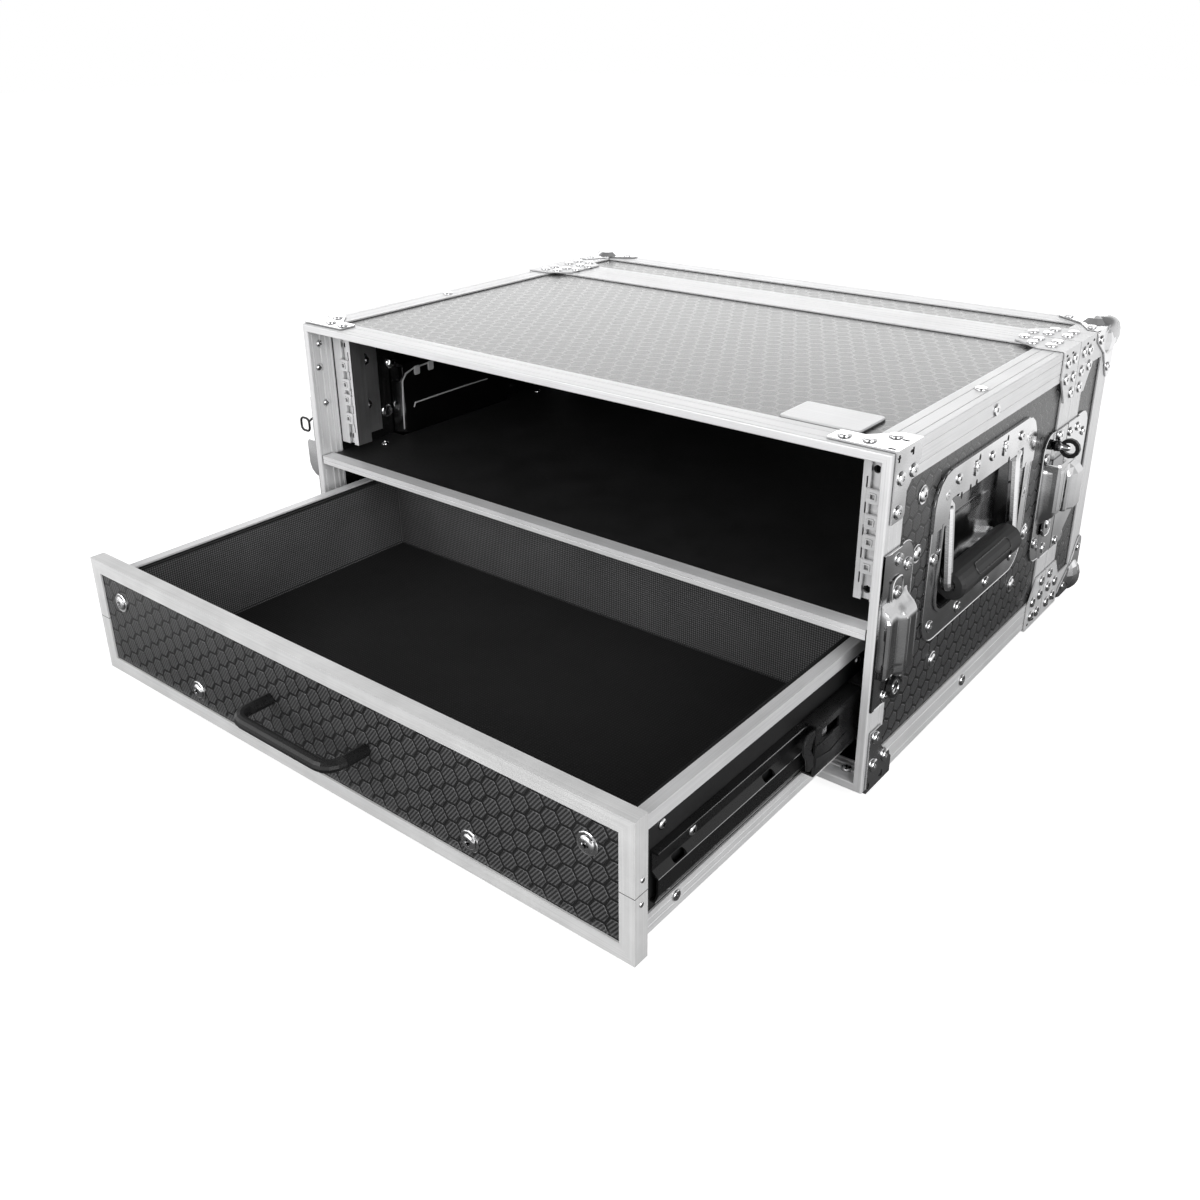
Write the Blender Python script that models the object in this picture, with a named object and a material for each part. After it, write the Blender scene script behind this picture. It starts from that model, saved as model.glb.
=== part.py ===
"""A 19-inch rack case with a drawer: a shallow road case for five units, its lower part a pull-out drawer.

Built in the case's own frame: X across the front, Y from the front opening to the rear, Z up from
the underside of the body. The drawer stands open and the rear lid is on. At the end the whole case
is shifted so that the middle of its footprint, at the bottom of the feet, is the world's origin.
"""

import math

import bmesh
import bpy
from mathutils import Matrix, Vector

MM = 0.001

# Clearance between two pieces that touch on the real case
FIT = 0.3 * MM

# Case body and rear lid, outside
HALF_WIDTH = 252 * MM
BODY_HEIGHT = 220 * MM
BODY_DEPTH = 300 * MM
LID_DEPTH = 82 * MM

# Laminated boards and the aluminium sections that hold their edges
BOARD = 3.0 * MM
EDGE_LEG = 22 * MM
EDGE_SKIN = 1.2 * MM
INNER_SKIN = 0.9 * MM
EDGE_ROUND = 0.9 * MM
RIB_HEIGHT = 0.7 * MM
RIB_HALF = 1.1 * MM
RIB_DEPTHS = (11.5 * MM, 16.5 * MM, 21.0 * MM)
GROOVE_DEPTH = 0.35 * MM
GROOVE_HALF = 0.4 * MM
GROOVE_PLACES = (6.0 * MM, 15.5 * MM)
REAR_INNER_LEG = 12 * MM
TONGUE_START = 1.9 * MM
TONGUE = 1.9 * MM
TONGUE_LENGTH = 4.2 * MM
GROOVE_FIT = 0.4 * MM

# Folded plates on the corners
PLATE = 1.2 * MM
BRACKET_FRONT = 4 * MM
BRACKET_WIDE = 36 * MM
BRACKET_NARROW = 20 * MM
BRACKET_LONG = 42 * MM
BRACKET_FULL = 10 * MM
BRACKET_ROUND = 3 * MM
BRACKET_SLOT = (2.2 * MM, 4.5 * MM, 1.2 * MM)
BRACKET_SLOTS_BACK = (6.5 * MM, 24 * MM)
REAR_BRACKET_REACH = 32.5 * MM
LID_BRACKET_REACH = 35 * MM
REAR_BRACKET_LENGTH = 40 * MM
REAR_BRACKET_SLOPE = 10 * MM
STUD_RADIUS = 1.6 * MM
BALL_RADIUS = 17 * MM
BALL_PROUD = 6 * MM
BALL_PLATE_REACH = 42 * MM
BALL_PLATE_WAIST = 20 * MM
BALL_PLATE_TIP = 5 * MM

# Shelf over the drawer
SHELF_BELOW_TOP = 109 * MM
SHELF_TRIM_HEIGHT = 6.5 * MM
SHELF_TRIM_DEPTH = 11 * MM
SHELF_TRIM_SKIN = 1.0 * MM
SHELF_SETBACK = 1.0 * MM
SHELF_BACK_GAP = 15 * MM

# Rack rails: two rack units
RACK_UNIT = 44.45 * MM
RACK_UNITS = 2
RACK_HOLE_HALF_SPACING = 232.55 * MM
RACK_HOLE_STEPS = (15.875 * MM, 15.875 * MM, 12.7 * MM)
RACK_HOLE_RADIUS = 2.6 * MM
RAIL_FRONT = 22.8 * MM
RAIL_SKIN = 1.6 * MM
RAIL_LIP_INNER = 225.0 * MM
RAIL_GROOVE = (230.0 * MM, 235.6 * MM)
RAIL_GROOVE_DEPTH = 2.5 * MM
RAIL_RETURN = 14.2 * MM
RAIL_FLANGE_DEPTH = 42 * MM
RAIL_FLANGE_THICK = 3.6 * MM
RAIL_SLOT = (0.9 * MM, 7.0 * MM)
RAIL_GAP = 7.0 * MM
RAIL_HOLE_CUT = 7.5 * MM

# Recessed handles in the sides, their heights taken from the middle of the plate
DISH_OFF_MIDDLE = 1.5 * MM
DISH_BELOW_TOP = 91 * MM
DISH_PLATE = (165 * MM, 116 * MM)
DISH_PLATE_ROUND = 20 * MM
DISH_MOUTH = (134 * MM, 84 * MM)
DISH_MOUTH_BELOW = 38 * MM
DISH_MOUTH_ROUND = 12 * MM
DISH_TOP_ROUND = 5 * MM
DISH_DEPTH = 15 * MM
DISH_SLOPE = 5 * MM
DISH_SKIN = 1.2 * MM
DISH_LIP = 1.4 * MM
DISH_LIP_WIDTH = 2.2 * MM
DISH_RIB = (98 * MM, 9 * MM, 1.4 * MM)
DISH_RIB_ABOVE = 5 * MM
COVER_EAR_ABOVE = 22 * MM
COVER_ABOVE = 36 * MM
COVER_EAR = 21 * MM
COVER_NOTCH_ROUND = 2.5 * MM
BAIL_RADIUS = 3.8 * MM
BAIL_PIN_RADIUS = 2.6 * MM
BAIL_HALF_SPACING = 54 * MM
BAIL_PIN_REACH = 11 * MM
BAIL_ELBOW = 4.4 * MM
BAIL_NECK = 1.2 * MM
BAIL_PIVOT_IN = 2.7 * MM
BAIL_PIVOT_ABOVE = 34 * MM
BAIL_BEND = 4.6 * MM
BAIL_LEAN = math.radians(4.5)
GRIP_DROP = 59 * MM
GRIP_LENGTH = 98 * MM
GRIP_RADIUS = 10.6 * MM
GRIP_EASE = 2 * MM
GRIP_POCKET = (62 * MM, 8 * MM, 1.2 * MM)
GRIP_POCKET_TURN = math.radians(20)
BEARING_HALF_HEIGHT = 6 * MM

# Twist latches: base plates on the body, catch plates on the lid, heights from the plate's lower end
LATCH_HEIGHT = 102 * MM
LATCH_BELOW_MIDDLE = 1 * MM
LATCH_NEAR = 1 * MM
LATCH_FAR = 43 * MM
LATCH_ROUND = 14 * MM
LATCH_STEP = 2.0 * MM
HOUSING_RISE = (22 * MM, 66 * MM)
HOUSING_SLOPE = 7 * MM
HOUSING_SIDES = (3.5 * MM, 37 * MM)
HOUSING_STEP = (15 * MM, 19.5 * MM)
HOUSING_HEIGHTS = (5.2 * MM, 9.0 * MM)
HOUSING_EASE = 1.5 * MM
HOUSING_SHARES = (0.92, 0.55, 0.12)
HOUSING_MOUTH = (16 * MM, 3.0 * MM, 8 * MM)
LATCH_TAB = (10 * MM, 27 * MM)
LATCH_TAB_ROUND = (5 * MM, 2 * MM)
LATCH_TAB_RISE = 83 * MM
LATCH_TAB_PROUD = 1.0 * MM
KEY_BACK = 23 * MM
KEY_RISE = 11 * MM
KEY_STEM_RADIUS = 4.0 * MM
KEY_STEM_LENGTH = 3.2 * MM
KEY_STEM_EASE = 0.8 * MM
KEY_RING = (7.4 * MM, 4.4 * MM, 3.0 * MM)
KEY_RING_SHIFT = (1.5 * MM, -2.5 * MM)
KEY_SIDES = 12
KEEPER_REACH = 51 * MM
KEEPER_CORNER = 22 * MM
KEEPER_CATCH = (6 * MM, 34 * MM)
KEEPER_STEP = (12 * MM, 17 * MM)
KEEPER_HEIGHTS = (4.8 * MM, 7.5 * MM)
KEEPER_RISE = (30 * MM, 66 * MM)
STAPLE_RISE = (40 * MM, 56 * MM)
STAPLE_GAP = (9 * MM, 3 * MM)

# Drawer
DRAWER_PULL = 210 * MM
DRAWER_CLOSED_FRONT = 1.4 * MM
DRAWER_SIDE_GAP = 8.5 * MM
DRAWER_FRONT_GAP = 6.3 * MM
DRAWER_TRIM_LEG = 9.8 * MM
DRAWER_TRIM_DEPTH = 10.3 * MM
DRAWER_TRIM_SKIN = 1.2 * MM
DRAWER_FRONT_BOARD = 8.4 * MM
DRAWER_TOP_ROOM = 17.9 * MM
DRAWER_SIDE_LOW = 13 * MM
DRAWER_LENGTH = 262 * MM
DRAWER_SIDE_BOARD = 6.0 * MM
DRAWER_FLOOR = 4.0 * MM
DRAWER_EDGE_LEG = 9 * MM
DRAWER_RAIL_HEIGHT = 12.7 * MM
LINING = 3.5 * MM
PULL_HALF_SPACING = 44.3 * MM
PULL_HEIGHT = 57 * MM
PULL_REACH = 29 * MM
PULL_RADIUS = 4 * MM
PULL_BEND = 10 * MM

# Drawer slides: fixed channel, middle channel and drawer channel, one inside the other
SLIDE_CENTRE = 47 * MM
SLIDE_OUTER_HEIGHT = 38.5 * MM
SLIDE_SKIN = 1.2 * MM
SLIDE_CLEAR = 0.6 * MM
SLIDE_WIDTH = 13 * MM
SLIDE_LIP = 1.4 * MM
SLIDE_BEAD = (5.2 * MM, 3.5 * MM, 3.5 * MM)
SLIDE_BEAD_EASE = (2.2 * MM, 5.2 * MM)
SLIDE_HOLE = (11 * MM, 3.6 * MM, 1.5 * MM)
SLIDE_HOLES_BACK = (20 * MM, 106 * MM)
SLIDE_WINDOW = (21 * MM, 7.5 * MM)
SLIDE_WINDOW_BACK = (7 * MM, 7.8 * MM)
SLIDE_FRONT = 14 * MM
SLIDE_SET_BACK = 12 * MM
SLIDE_LENGTH = 262 * MM
SLIDE_MIDDLE_SHARE = 54.0 / 210.0
SLIDE_SPACER_HEIGHT = 24 * MM
SLIDE_SPACER = 5.8 * MM

# Rubber feet
FOOT_HEIGHT = 8 * MM
FOOT_RADIUS = 15 * MM
FOOT_TAPER = 2 * MM
FOOT_INSET_X = 52 * MM
FOOT_INSET_Y = 50 * MM

# Sizes that follow from the ones above
BOARD_OUT = EDGE_SKIN + FIT
BOARD_IN = BOARD_OUT + BOARD
WALL = BOARD_IN + FIT + INNER_SKIN
INSIDE_HALF = HALF_WIDTH - BOARD_IN
LID_BACK = BODY_DEPTH + LID_DEPTH
SHELF_TOP = BODY_HEIGHT - SHELF_BELOW_TOP
SHELF_BOTTOM = SHELF_TOP - SHELF_TRIM_HEIGHT
SHELF_BACK = BODY_DEPTH - SHELF_BACK_GAP
PLATE_SEAT = HALF_WIDTH + FIT
PLATE_FACE = PLATE_SEAT + PLATE
BOARD_FACE = HALF_WIDTH - BOARD_OUT
DISH_CENTRE = (BODY_DEPTH / 2 - DISH_OFF_MIDDLE, BODY_HEIGHT - DISH_BELOW_TOP)
DISH_MOUTH_BOTTOM = DISH_CENTRE[1] - DISH_MOUTH_BELOW
DISH_SEAT = BOARD_FACE + FIT
DISH_FACE = DISH_SEAT + DISH_SKIN
COVER_LOW = DISH_CENTRE[1] + COVER_EAR_ABOVE
COVER_HIGH = DISH_CENTRE[1] + COVER_ABOVE
BAIL_PIVOT = (HALF_WIDTH - BAIL_PIVOT_IN, DISH_CENTRE[1] + BAIL_PIVOT_ABOVE)
LATCH_MIDDLE = BODY_HEIGHT / 2 - LATCH_BELOW_MIDDLE
LATCH_LOW = LATCH_MIDDLE - LATCH_HEIGHT / 2
LATCH_HIGH = LATCH_MIDDLE + LATCH_HEIGHT / 2
HOUSING_LOW, HOUSING_HIGH = (LATCH_LOW + rise for rise in HOUSING_RISE)
KEY_HEIGHT = LATCH_LOW + KEY_RISE
DRAWER_FRONT = DRAWER_CLOSED_FRONT - DRAWER_PULL
DRAWER_HALF = HALF_WIDTH - WALL - DRAWER_SIDE_GAP
DRAWER_LOW = WALL + DRAWER_FRONT_GAP
DRAWER_HIGH = SHELF_BOTTOM - DRAWER_FRONT_GAP
DRAWER_BODY_FRONT = DRAWER_FRONT + DRAWER_TRIM_DEPTH + FIT
DRAWER_SIDE_TOP = SHELF_BOTTOM - DRAWER_TOP_ROOM
DRAWER_SIDE_HALF = INSIDE_HALF - FIT - SLIDE_SPACER - SLIDE_WIDTH - FIT
DRAWER_SKIN_IN = DRAWER_SIDE_HALF + FIT
DRAWER_SKIN_OUT = DRAWER_SKIN_IN + DRAWER_TRIM_SKIN
SEAM_LID = BODY_DEPTH + FIT

CIRCLE_STEPS = 16
SMALL_STEPS = 10
ARC_STEPS = 4

PAINTS = {
    "laminate": ((0.022, 0.022, 0.024), 0.35, 0.0),
    "aluminium": ((0.80, 0.81, 0.82), 0.32, 1.0),
    "zinc_plate": ((0.72, 0.73, 0.75), 0.25, 1.0),
    "chrome": ((0.85, 0.85, 0.86), 0.08, 1.0),
    "black_board": ((0.02, 0.02, 0.021), 0.6, 0.0),
    "black_steel": ((0.025, 0.025, 0.027), 0.35, 0.6),
    "rubber": ((0.018, 0.018, 0.018), 0.7, 0.0),
    "foam": ((0.03, 0.03, 0.032), 0.95, 0.0),
}


def clear_scene():
    for thing in list(bpy.data.objects):
        bpy.data.objects.remove(thing, do_unlink=True)


def make_materials():
    materials = {}
    for name, (colour, roughness, metallic) in PAINTS.items():
        material = bpy.data.materials.new(name)
        material.use_nodes = True
        shader = material.node_tree.nodes["Principled BSDF"]
        shader.inputs["Base Color"].default_value = (*colour, 1.0)
        shader.inputs["Roughness"].default_value = roughness
        shader.inputs["Metallic"].default_value = metallic
        materials[name] = material
    return materials


clear_scene()
MATERIALS = make_materials()


# Outlines and solids

def arc(centre, radius, start, end, steps=ARC_STEPS):
    """Points on an arc from one angle to the other, in degrees, both ends included."""
    points = []
    for step in range(steps + 1):
        angle = math.radians(start + (end - start) * step / steps)
        points.append((centre[0] + radius * math.cos(angle), centre[1] + radius * math.sin(angle)))
    return points


def rounded_rectangle(low, high, radii, steps=ARC_STEPS):
    """Corner radii go from the low-low corner round by high-low, high-high and low-high."""
    corners = ((low[0], low[1], 180), (high[0], low[1], 270), (high[0], high[1], 0), (low[0], high[1], 90))
    points = []
    for (u, v, start), radius in zip(corners, radii):
        if radius == 0:
            points.append((u, v))
            continue
        inward_u = radius if u == low[0] else -radius
        inward_v = radius if v == low[1] else -radius
        points += arc((u + inward_u, v + inward_v), radius, start, start + 90, steps)
    return points


def rectangle(low, high):
    return rounded_rectangle(low, high, (0, 0, 0, 0))


PLANES = {
    "YZ": lambda u, v, w: (w, u, v),
    "XZ": lambda u, v, w: (u, w, v),
    "XY": lambda u, v, w: (u, v, w),
}


def solid(name, mesh_maker):
    """A new object whose mesh is filled in by a function that takes a bmesh."""
    mesh = bpy.data.meshes.new(name)
    shape = bmesh.new()
    mesh_maker(shape)
    bmesh.ops.remove_doubles(shape, verts=shape.verts, dist=0.00001)
    bmesh.ops.recalc_face_normals(shape, faces=shape.faces)
    shape.to_mesh(mesh)
    shape.free()
    thing = bpy.data.objects.new(name, mesh)
    bpy.context.scene.collection.objects.link(thing)
    return thing


def loft(name, loops, closed=False):
    """Bridges loops of equally many points. An open run gets a cap at each end, a closed run none."""

    def fill(shape):
        rings = [[shape.verts.new(point) for point in loop] for loop in loops]
        count = len(rings[0])
        pairs = list(zip(rings, rings[1:]))
        if closed:
            pairs.append((rings[-1], rings[0]))
        for first, second in pairs:
            for index in range(count):
                following = (index + 1) % count
                shape.faces.new((first[index], first[following], second[following], second[index]))
        if not closed:
            shape.faces.new(rings[0])
            shape.faces.new(rings[-1])

    return solid(name, fill)


def prism(name, plane, outline, low, high):
    """An outline in one of the three planes, pushed along the third axis."""
    to_space = PLANES[plane]
    return loft(name, [[to_space(u, v, w) for u, v in outline] for w in (low, high)])


def block(name, low, high):
    return prism(name, "XY", rectangle(low[:2], high[:2]), low[2], high[2])


def mitred_frame(name, profile, half_width, low, high):
    """A section swept round the rectangle of the case, mitred at the corners.

    The section's points are (inward distance from the outer faces, y).
    """
    loops = []
    for side, level in ((-1, -1), (1, -1), (1, 1), (-1, 1)):
        loop = []
        for inward, y in profile:
            z = low + inward if level < 0 else high - inward
            loop.append((side * (half_width - inward), y, z))
        loops.append(loop)
    return loft(name, loops, closed=True)


def turned(name, profile, centre, axis, steps=CIRCLE_STEPS):
    """A profile of (distance along the axis, radius) points turned about the axis.

    Its first and last points lie on the axis.
    """
    turn = Vector((0, 0, 1)).rotation_difference(Vector(axis)).to_matrix()
    centre = Vector(centre)

    def fill(shape):
        rings = []
        for along, radius in profile:
            count = 1 if radius == 0 else steps
            ring = []
            for step in range(count):
                angle = 2 * math.pi * step / steps
                point = Vector((radius * math.cos(angle), radius * math.sin(angle), along))
                ring.append(shape.verts.new(centre + turn @ point))
            rings.append(ring)
        for first, second in zip(rings, rings[1:]):
            for step in range(steps):
                following = (step + 1) % steps
                corners = []
                for ring, index in ((first, step), (first, following), (second, following), (second, step)):
                    corner = ring[index % len(ring)]
                    if corner not in corners:
                        corners.append(corner)
                shape.faces.new(corners)

    return solid(name, fill)


def rod(name, centre, axis, low, high, radius, steps=SMALL_STEPS):
    return turned(name, [(low, 0), (low, radius), (high, radius), (high, 0)], centre, axis, steps)


def bent_path(corners, radii, steps=ARC_STEPS):
    """A run of straight lines whose corners are rounded, as a list of points."""
    points = [Vector(corners[0])]
    for before, corner, after, radius in zip(corners, corners[1:], corners[2:], radii):
        corner = Vector(corner)
        towards_before = (Vector(before) - corner).normalized()
        towards_after = (Vector(after) - corner).normalized()
        half_angle = towards_before.angle(towards_after) / 2
        back = radius / math.tan(half_angle)
        middle = (towards_before + towards_after).normalized()
        centre = corner + middle * (radius / math.sin(half_angle))
        start = (corner + towards_before * back - centre).normalized()
        end = (corner + towards_after * back - centre).normalized()
        for step in range(steps + 1):
            points.append(centre + start.slerp(end, step / steps) * radius)
    points.append(Vector(corners[-1]))
    return points


def bent_rod(name, path, radii, sides=SMALL_STEPS):
    """A round bar along a path that lies in one plane, with its radius at each point."""
    first = (path[1] - path[0]).normalized()
    turns = [(b - a).normalized().cross((c - b).normalized()) for a, b, c in zip(path, path[1:], path[2:])]
    normal = max(turns, key=lambda turn: turn.length).normalized()
    loops = []
    for index, point in enumerate(path):
        before = path[max(index - 1, 0)]
        after = path[min(index + 1, len(path) - 1)]
        along = (after - before).normalized()
        if index == 0:
            along = first
        across = along.cross(normal)
        radius = radii[index]
        loop = []
        for side in range(sides):
            angle = 2 * math.pi * side / sides
            loop.append(point + (across * math.cos(angle) + normal * math.sin(angle)) * radius)
        loops.append(loop)
    return loft(name, loops)


def apply_boolean(target, other, operation):
    modifier = target.modifiers.new(operation.title(), "BOOLEAN")
    modifier.operation = operation
    modifier.solver = "EXACT"
    modifier.object = other
    bpy.context.view_layer.update()
    evaluated = target.evaluated_get(bpy.context.evaluated_depsgraph_get())
    mesh = bpy.data.meshes.new_from_object(evaluated)
    target.modifiers.remove(modifier)
    old = target.data
    target.data = mesh
    bpy.data.meshes.remove(old)
    bpy.data.objects.remove(other, do_unlink=True)


def add(target, *others):
    for other in others:
        apply_boolean(target, other, "UNION")
    return target


def cut(target, *others):
    for other in others:
        apply_boolean(target, other, "DIFFERENCE")
    return target


def keep_inside(target, other):
    apply_boolean(target, other, "INTERSECT")
    return target


def twin(source, name, mirror=(-1, 1, 1), shift=(0, 0, 0)):
    """A second piece of the same shape, mirrored or moved."""
    mesh = source.data.copy()
    mesh.name = name
    flip = Matrix.Diagonal((*mirror, 1))
    mesh.transform(Matrix.Translation(shift) @ flip)
    if flip.determinant() < 0:
        mesh.flip_normals()
    thing = bpy.data.objects.new(name, mesh)
    bpy.context.scene.collection.objects.link(thing)
    return thing


def turned_twin(source, name, centre, axis):
    """A second piece turned half a turn about a line through the centre."""
    mesh = source.data.copy()
    mesh.name = name
    centre = Vector(centre)
    turn = Matrix.Rotation(math.pi, 4, axis)
    mesh.transform(Matrix.Translation(centre) @ turn @ Matrix.Translation(-centre))
    thing = bpy.data.objects.new(name, mesh)
    bpy.context.scene.collection.objects.link(thing)
    return thing


NODES = []
CASE = bpy.data.objects.new("case", None)
bpy.context.scene.collection.objects.link(CASE)


def axis_empty(name, place):
    """The parent of a moving piece, standing on the piece's joint axis."""
    empty = bpy.data.objects.new(name, None)
    bpy.context.scene.collection.objects.link(empty)
    empty.parent = CASE
    empty.location = place
    return empty


def finish(thing, paint, parent=CASE, smooth=35):
    """Gives the piece its material and hangs it on its parent without moving it."""
    thing.data.materials.clear()
    thing.data.materials.append(MATERIALS[paint])
    thing.data.shade_smooth()
    thing.data.set_sharp_from_angle(angle=math.radians(smooth))
    if parent is not CASE:
        thing.data.transform(Matrix.Translation(-parent.location))
    thing.parent = parent
    NODES.append(thing)
    return thing


# Boards of the body

def dish_hole():
    """The opening in a side board that the handle dish drops into."""
    half_y = DISH_MOUTH[0] / 2 + DISH_SKIN + FIT
    low_z = DISH_MOUTH_BOTTOM - DISH_SKIN - FIT
    high_z = low_z + DISH_MOUTH[1] + 2 * (DISH_SKIN + FIT)
    corner = DISH_MOUTH_ROUND + DISH_SKIN + FIT
    top_corner = DISH_TOP_ROUND + DISH_SKIN + FIT
    outline = rounded_rectangle(
        (DISH_CENTRE[0] - half_y, low_z), (DISH_CENTRE[0] + half_y, high_z), (corner, corner, top_corner, top_corner)
    )
    return prism("dish_hole", "YZ", outline, INSIDE_HALF - BOARD, HALF_WIDTH)


def make_boards():
    front = EDGE_SKIN + FIT
    back = BODY_DEPTH - EDGE_SKIN - FIT
    right = block(
        "right_panel",
        (INSIDE_HALF, front, BOARD_OUT),
        (BOARD_FACE, back, BODY_HEIGHT - BOARD_OUT),
    )
    cut(right, dish_hole())
    finish(right, "laminate")
    finish(twin(right, "left_panel"), "laminate")
    across = INSIDE_HALF - FIT
    for name, low in (("bottom_panel", BOARD_OUT), ("top_panel", BODY_HEIGHT - BOARD_IN)):
        finish(block(name, (-across, front, low), (across, back, low + BOARD)), "laminate")


# Aluminium sections round the body

def grooved_leg(start, end, at):
    """Points down the outer face of a leg, with two fine grooves. Each is (depth, distance)."""
    points = []
    places = [start + place * (1 if end > start else -1) for place in at]
    direction = 1 if end > start else -1
    for place in places:
        points.append((0, place - direction * GROOVE_HALF))
        points.append((GROOVE_DEPTH, place))
        points.append((0, place + direction * GROOVE_HALF))
    return points


def front_profile():
    """Section of the front frame: a channel over the board's edge, ribbed inside the opening."""
    inner = BOARD_IN + FIT
    end = RIB_DEPTHS[-1] + RIB_HALF + EDGE_SKIN / 2
    points = [(WALL - EDGE_ROUND / 2, 0), (WALL, EDGE_ROUND / 2)]
    for depth in RIB_DEPTHS:
        points.append((WALL, depth - RIB_HALF))
        points.append((WALL + RIB_HEIGHT, depth - RIB_HALF / 2))
        points.append((WALL + RIB_HEIGHT, depth + RIB_HALF / 2))
        points.append((WALL, depth + RIB_HALF))
    points += [(WALL, end), (inner, end), (inner, EDGE_SKIN), (EDGE_SKIN, EDGE_SKIN)]
    points += [(EDGE_SKIN, EDGE_LEG), (0, EDGE_LEG)]
    points += reversed(grooved_leg(0, EDGE_LEG, GROOVE_PLACES))
    points += arc((EDGE_ROUND, EDGE_ROUND), EDGE_ROUND, 180, 270, 2)
    return points


def rear_profile():
    """Section of the body's rear frame: a channel with a tongue that enters the lid."""
    inner = BOARD_IN + FIT
    back = BODY_DEPTH
    tip = back + TONGUE_LENGTH
    points = [(0, back - EDGE_LEG), (EDGE_SKIN, back - EDGE_LEG), (EDGE_SKIN, back - EDGE_SKIN)]
    points += [(inner, back - EDGE_SKIN), (inner, back - REAR_INNER_LEG), (WALL, back - REAR_INNER_LEG)]
    points += [(WALL, back), (TONGUE_START + TONGUE, back), (TONGUE_START + TONGUE, tip)]
    points += [(TONGUE_START, tip), (TONGUE_START, back), (0, back)]
    points += grooved_leg(back, back - EDGE_LEG, GROOVE_PLACES)
    return points


def edge_section(reach=EDGE_LEG):
    """Section of an edge trim, as distances inward from the two outer faces."""
    points = [(0, reach)]
    points += reversed(grooved_leg(0, reach, GROOVE_PLACES))
    points += arc((EDGE_ROUND, EDGE_ROUND), EDGE_ROUND, 180, 270, 2)
    points += [(along, depth) for depth, along in grooved_leg(0, reach, GROOVE_PLACES)]
    points += [(reach, 0), (reach, EDGE_SKIN), (EDGE_SKIN, EDGE_SKIN), (EDGE_SKIN, reach)]
    return points


def plain_section():
    """The same section without its grooves, where a corner plate hides them."""
    return [(0, EDGE_LEG), (0, 0), (EDGE_LEG, 0), (EDGE_LEG, EDGE_SKIN), (EDGE_SKIN, EDGE_SKIN), (EDGE_SKIN, EDGE_LEG)]


def at_edge(points, side, level, low, high):
    """Places inward distances at one of the four long edges of the case."""
    return [(side * (HALF_WIDTH - a), low + b if level < 0 else high - b) for a, b in points]


def folded_plate(name, side, level, outline_side, outline_top):
    """Two flat plates that meet along a long edge of the case, as one folded piece.

    Each outline is (y, distance from the edge). The plates stand clear of the sections under them.
    """
    edge_z = 0 if level < 0 else BODY_HEIGHT
    away = 1 if level < 0 else -1
    seat = side * PLATE_SEAT
    face = side * PLATE_FACE
    shape_side = [(y, edge_z + away * d) for y, d in outline_side]
    upright = prism(name, "YZ", shape_side, min(seat, face), max(seat, face))
    shape_top = [(side * (HALF_WIDTH - d), y) for y, d in outline_top]
    seat_z = edge_z - away * FIT
    face_z = edge_z - away * (FIT + PLATE)
    flat = prism(name + "_flat", "XY", shape_top, min(seat_z, face_z), max(seat_z, face_z))
    return add(upright, flat)


def bracket_outline():
    """An L-shaped plate: wide beside the fold, a narrow leg further out."""
    fold = -(FIT + PLATE)
    near = BRACKET_FRONT
    slant = BRACKET_WIDE - BRACKET_NARROW
    points = [(near, fold), (BRACKET_WIDE, fold), (BRACKET_WIDE, BRACKET_FULL)]
    points += [(BRACKET_NARROW + BRACKET_ROUND, BRACKET_FULL + slant - BRACKET_ROUND)]
    points += [(BRACKET_NARROW, BRACKET_FULL + slant)]
    centre = (BRACKET_NARROW - BRACKET_ROUND, BRACKET_LONG - BRACKET_ROUND)
    points += arc(centre, BRACKET_ROUND, 0, 90, 2)
    points += [(near, BRACKET_LONG)]
    return points


def bracket_slots(level):
    """Cutters for the two small slots that stand near the fold on each face of a right bracket."""
    width, length, inset = BRACKET_SLOT
    edge_z = 0 if level < 0 else BODY_HEIGHT
    away = 1 if level < 0 else -1
    cutters = []
    for y in BRACKET_SLOTS_BACK:
        near, far = y - width / 2, y + width / 2
        ends = sorted((edge_z + away * inset, edge_z + away * (inset + length)))
        cutters.append(block("slot", (HALF_WIDTH, near, ends[0]), (PLATE_FACE + PLATE, far, ends[1])))
        ends = sorted((edge_z, edge_z - away * (PLATE_FACE - HALF_WIDTH + PLATE)))
        across = (HALF_WIDTH - inset - length, HALF_WIDTH - inset)
        cutters.append(block("slot", (across[0], near, ends[0]), (across[1], far, ends[1])))
    return cutters


def make_front_brackets():
    outline = bracket_outline()
    for level, level_name in ((1, "top"), (-1, "bottom")):
        right = folded_plate("corner_bracket_" + level_name + "_right", 1, level, outline, outline)
        cut(right, *bracket_slots(level))
        finish(right, "zinc_plate")
        finish(twin(right, "corner_bracket_" + level_name + "_left"), "zinc_plate")


def rear_brackets(near, far):
    """The folded corner plates of the rear joint, one at each edge, from the seam outwards."""
    fold = -(FIT + PLATE)
    length = REAR_BRACKET_LENGTH
    direction = 1 if far > near else -1
    slope = REAR_BRACKET_SLOPE
    narrow = far - direction * slope
    outline = [(near, fold), (far, fold), (far, length - 2 * slope), (narrow, length - slope / 2)]
    outline += [(narrow - direction * BRACKET_ROUND, length), (near, length)]
    plates = []
    for side in (-1, 1):
        for level in (-1, 1):
            plates.append(folded_plate("rear_bracket", side, level, outline, outline))
    return plates


def rivet_bosses(y):
    """Short studs that join the four folded plates to the section beneath them."""
    studs = []
    for side in (-1, 1):
        for z in (EDGE_LEG / 2, BODY_HEIGHT - EDGE_LEG / 2):
            centre = (side * HALF_WIDTH, y, z)
            studs.append(rod("stud", centre, (side, 0, 0), -EDGE_SKIN / 2, FIT + PLATE / 2, STUD_RADIUS, 8))
    return studs


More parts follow.
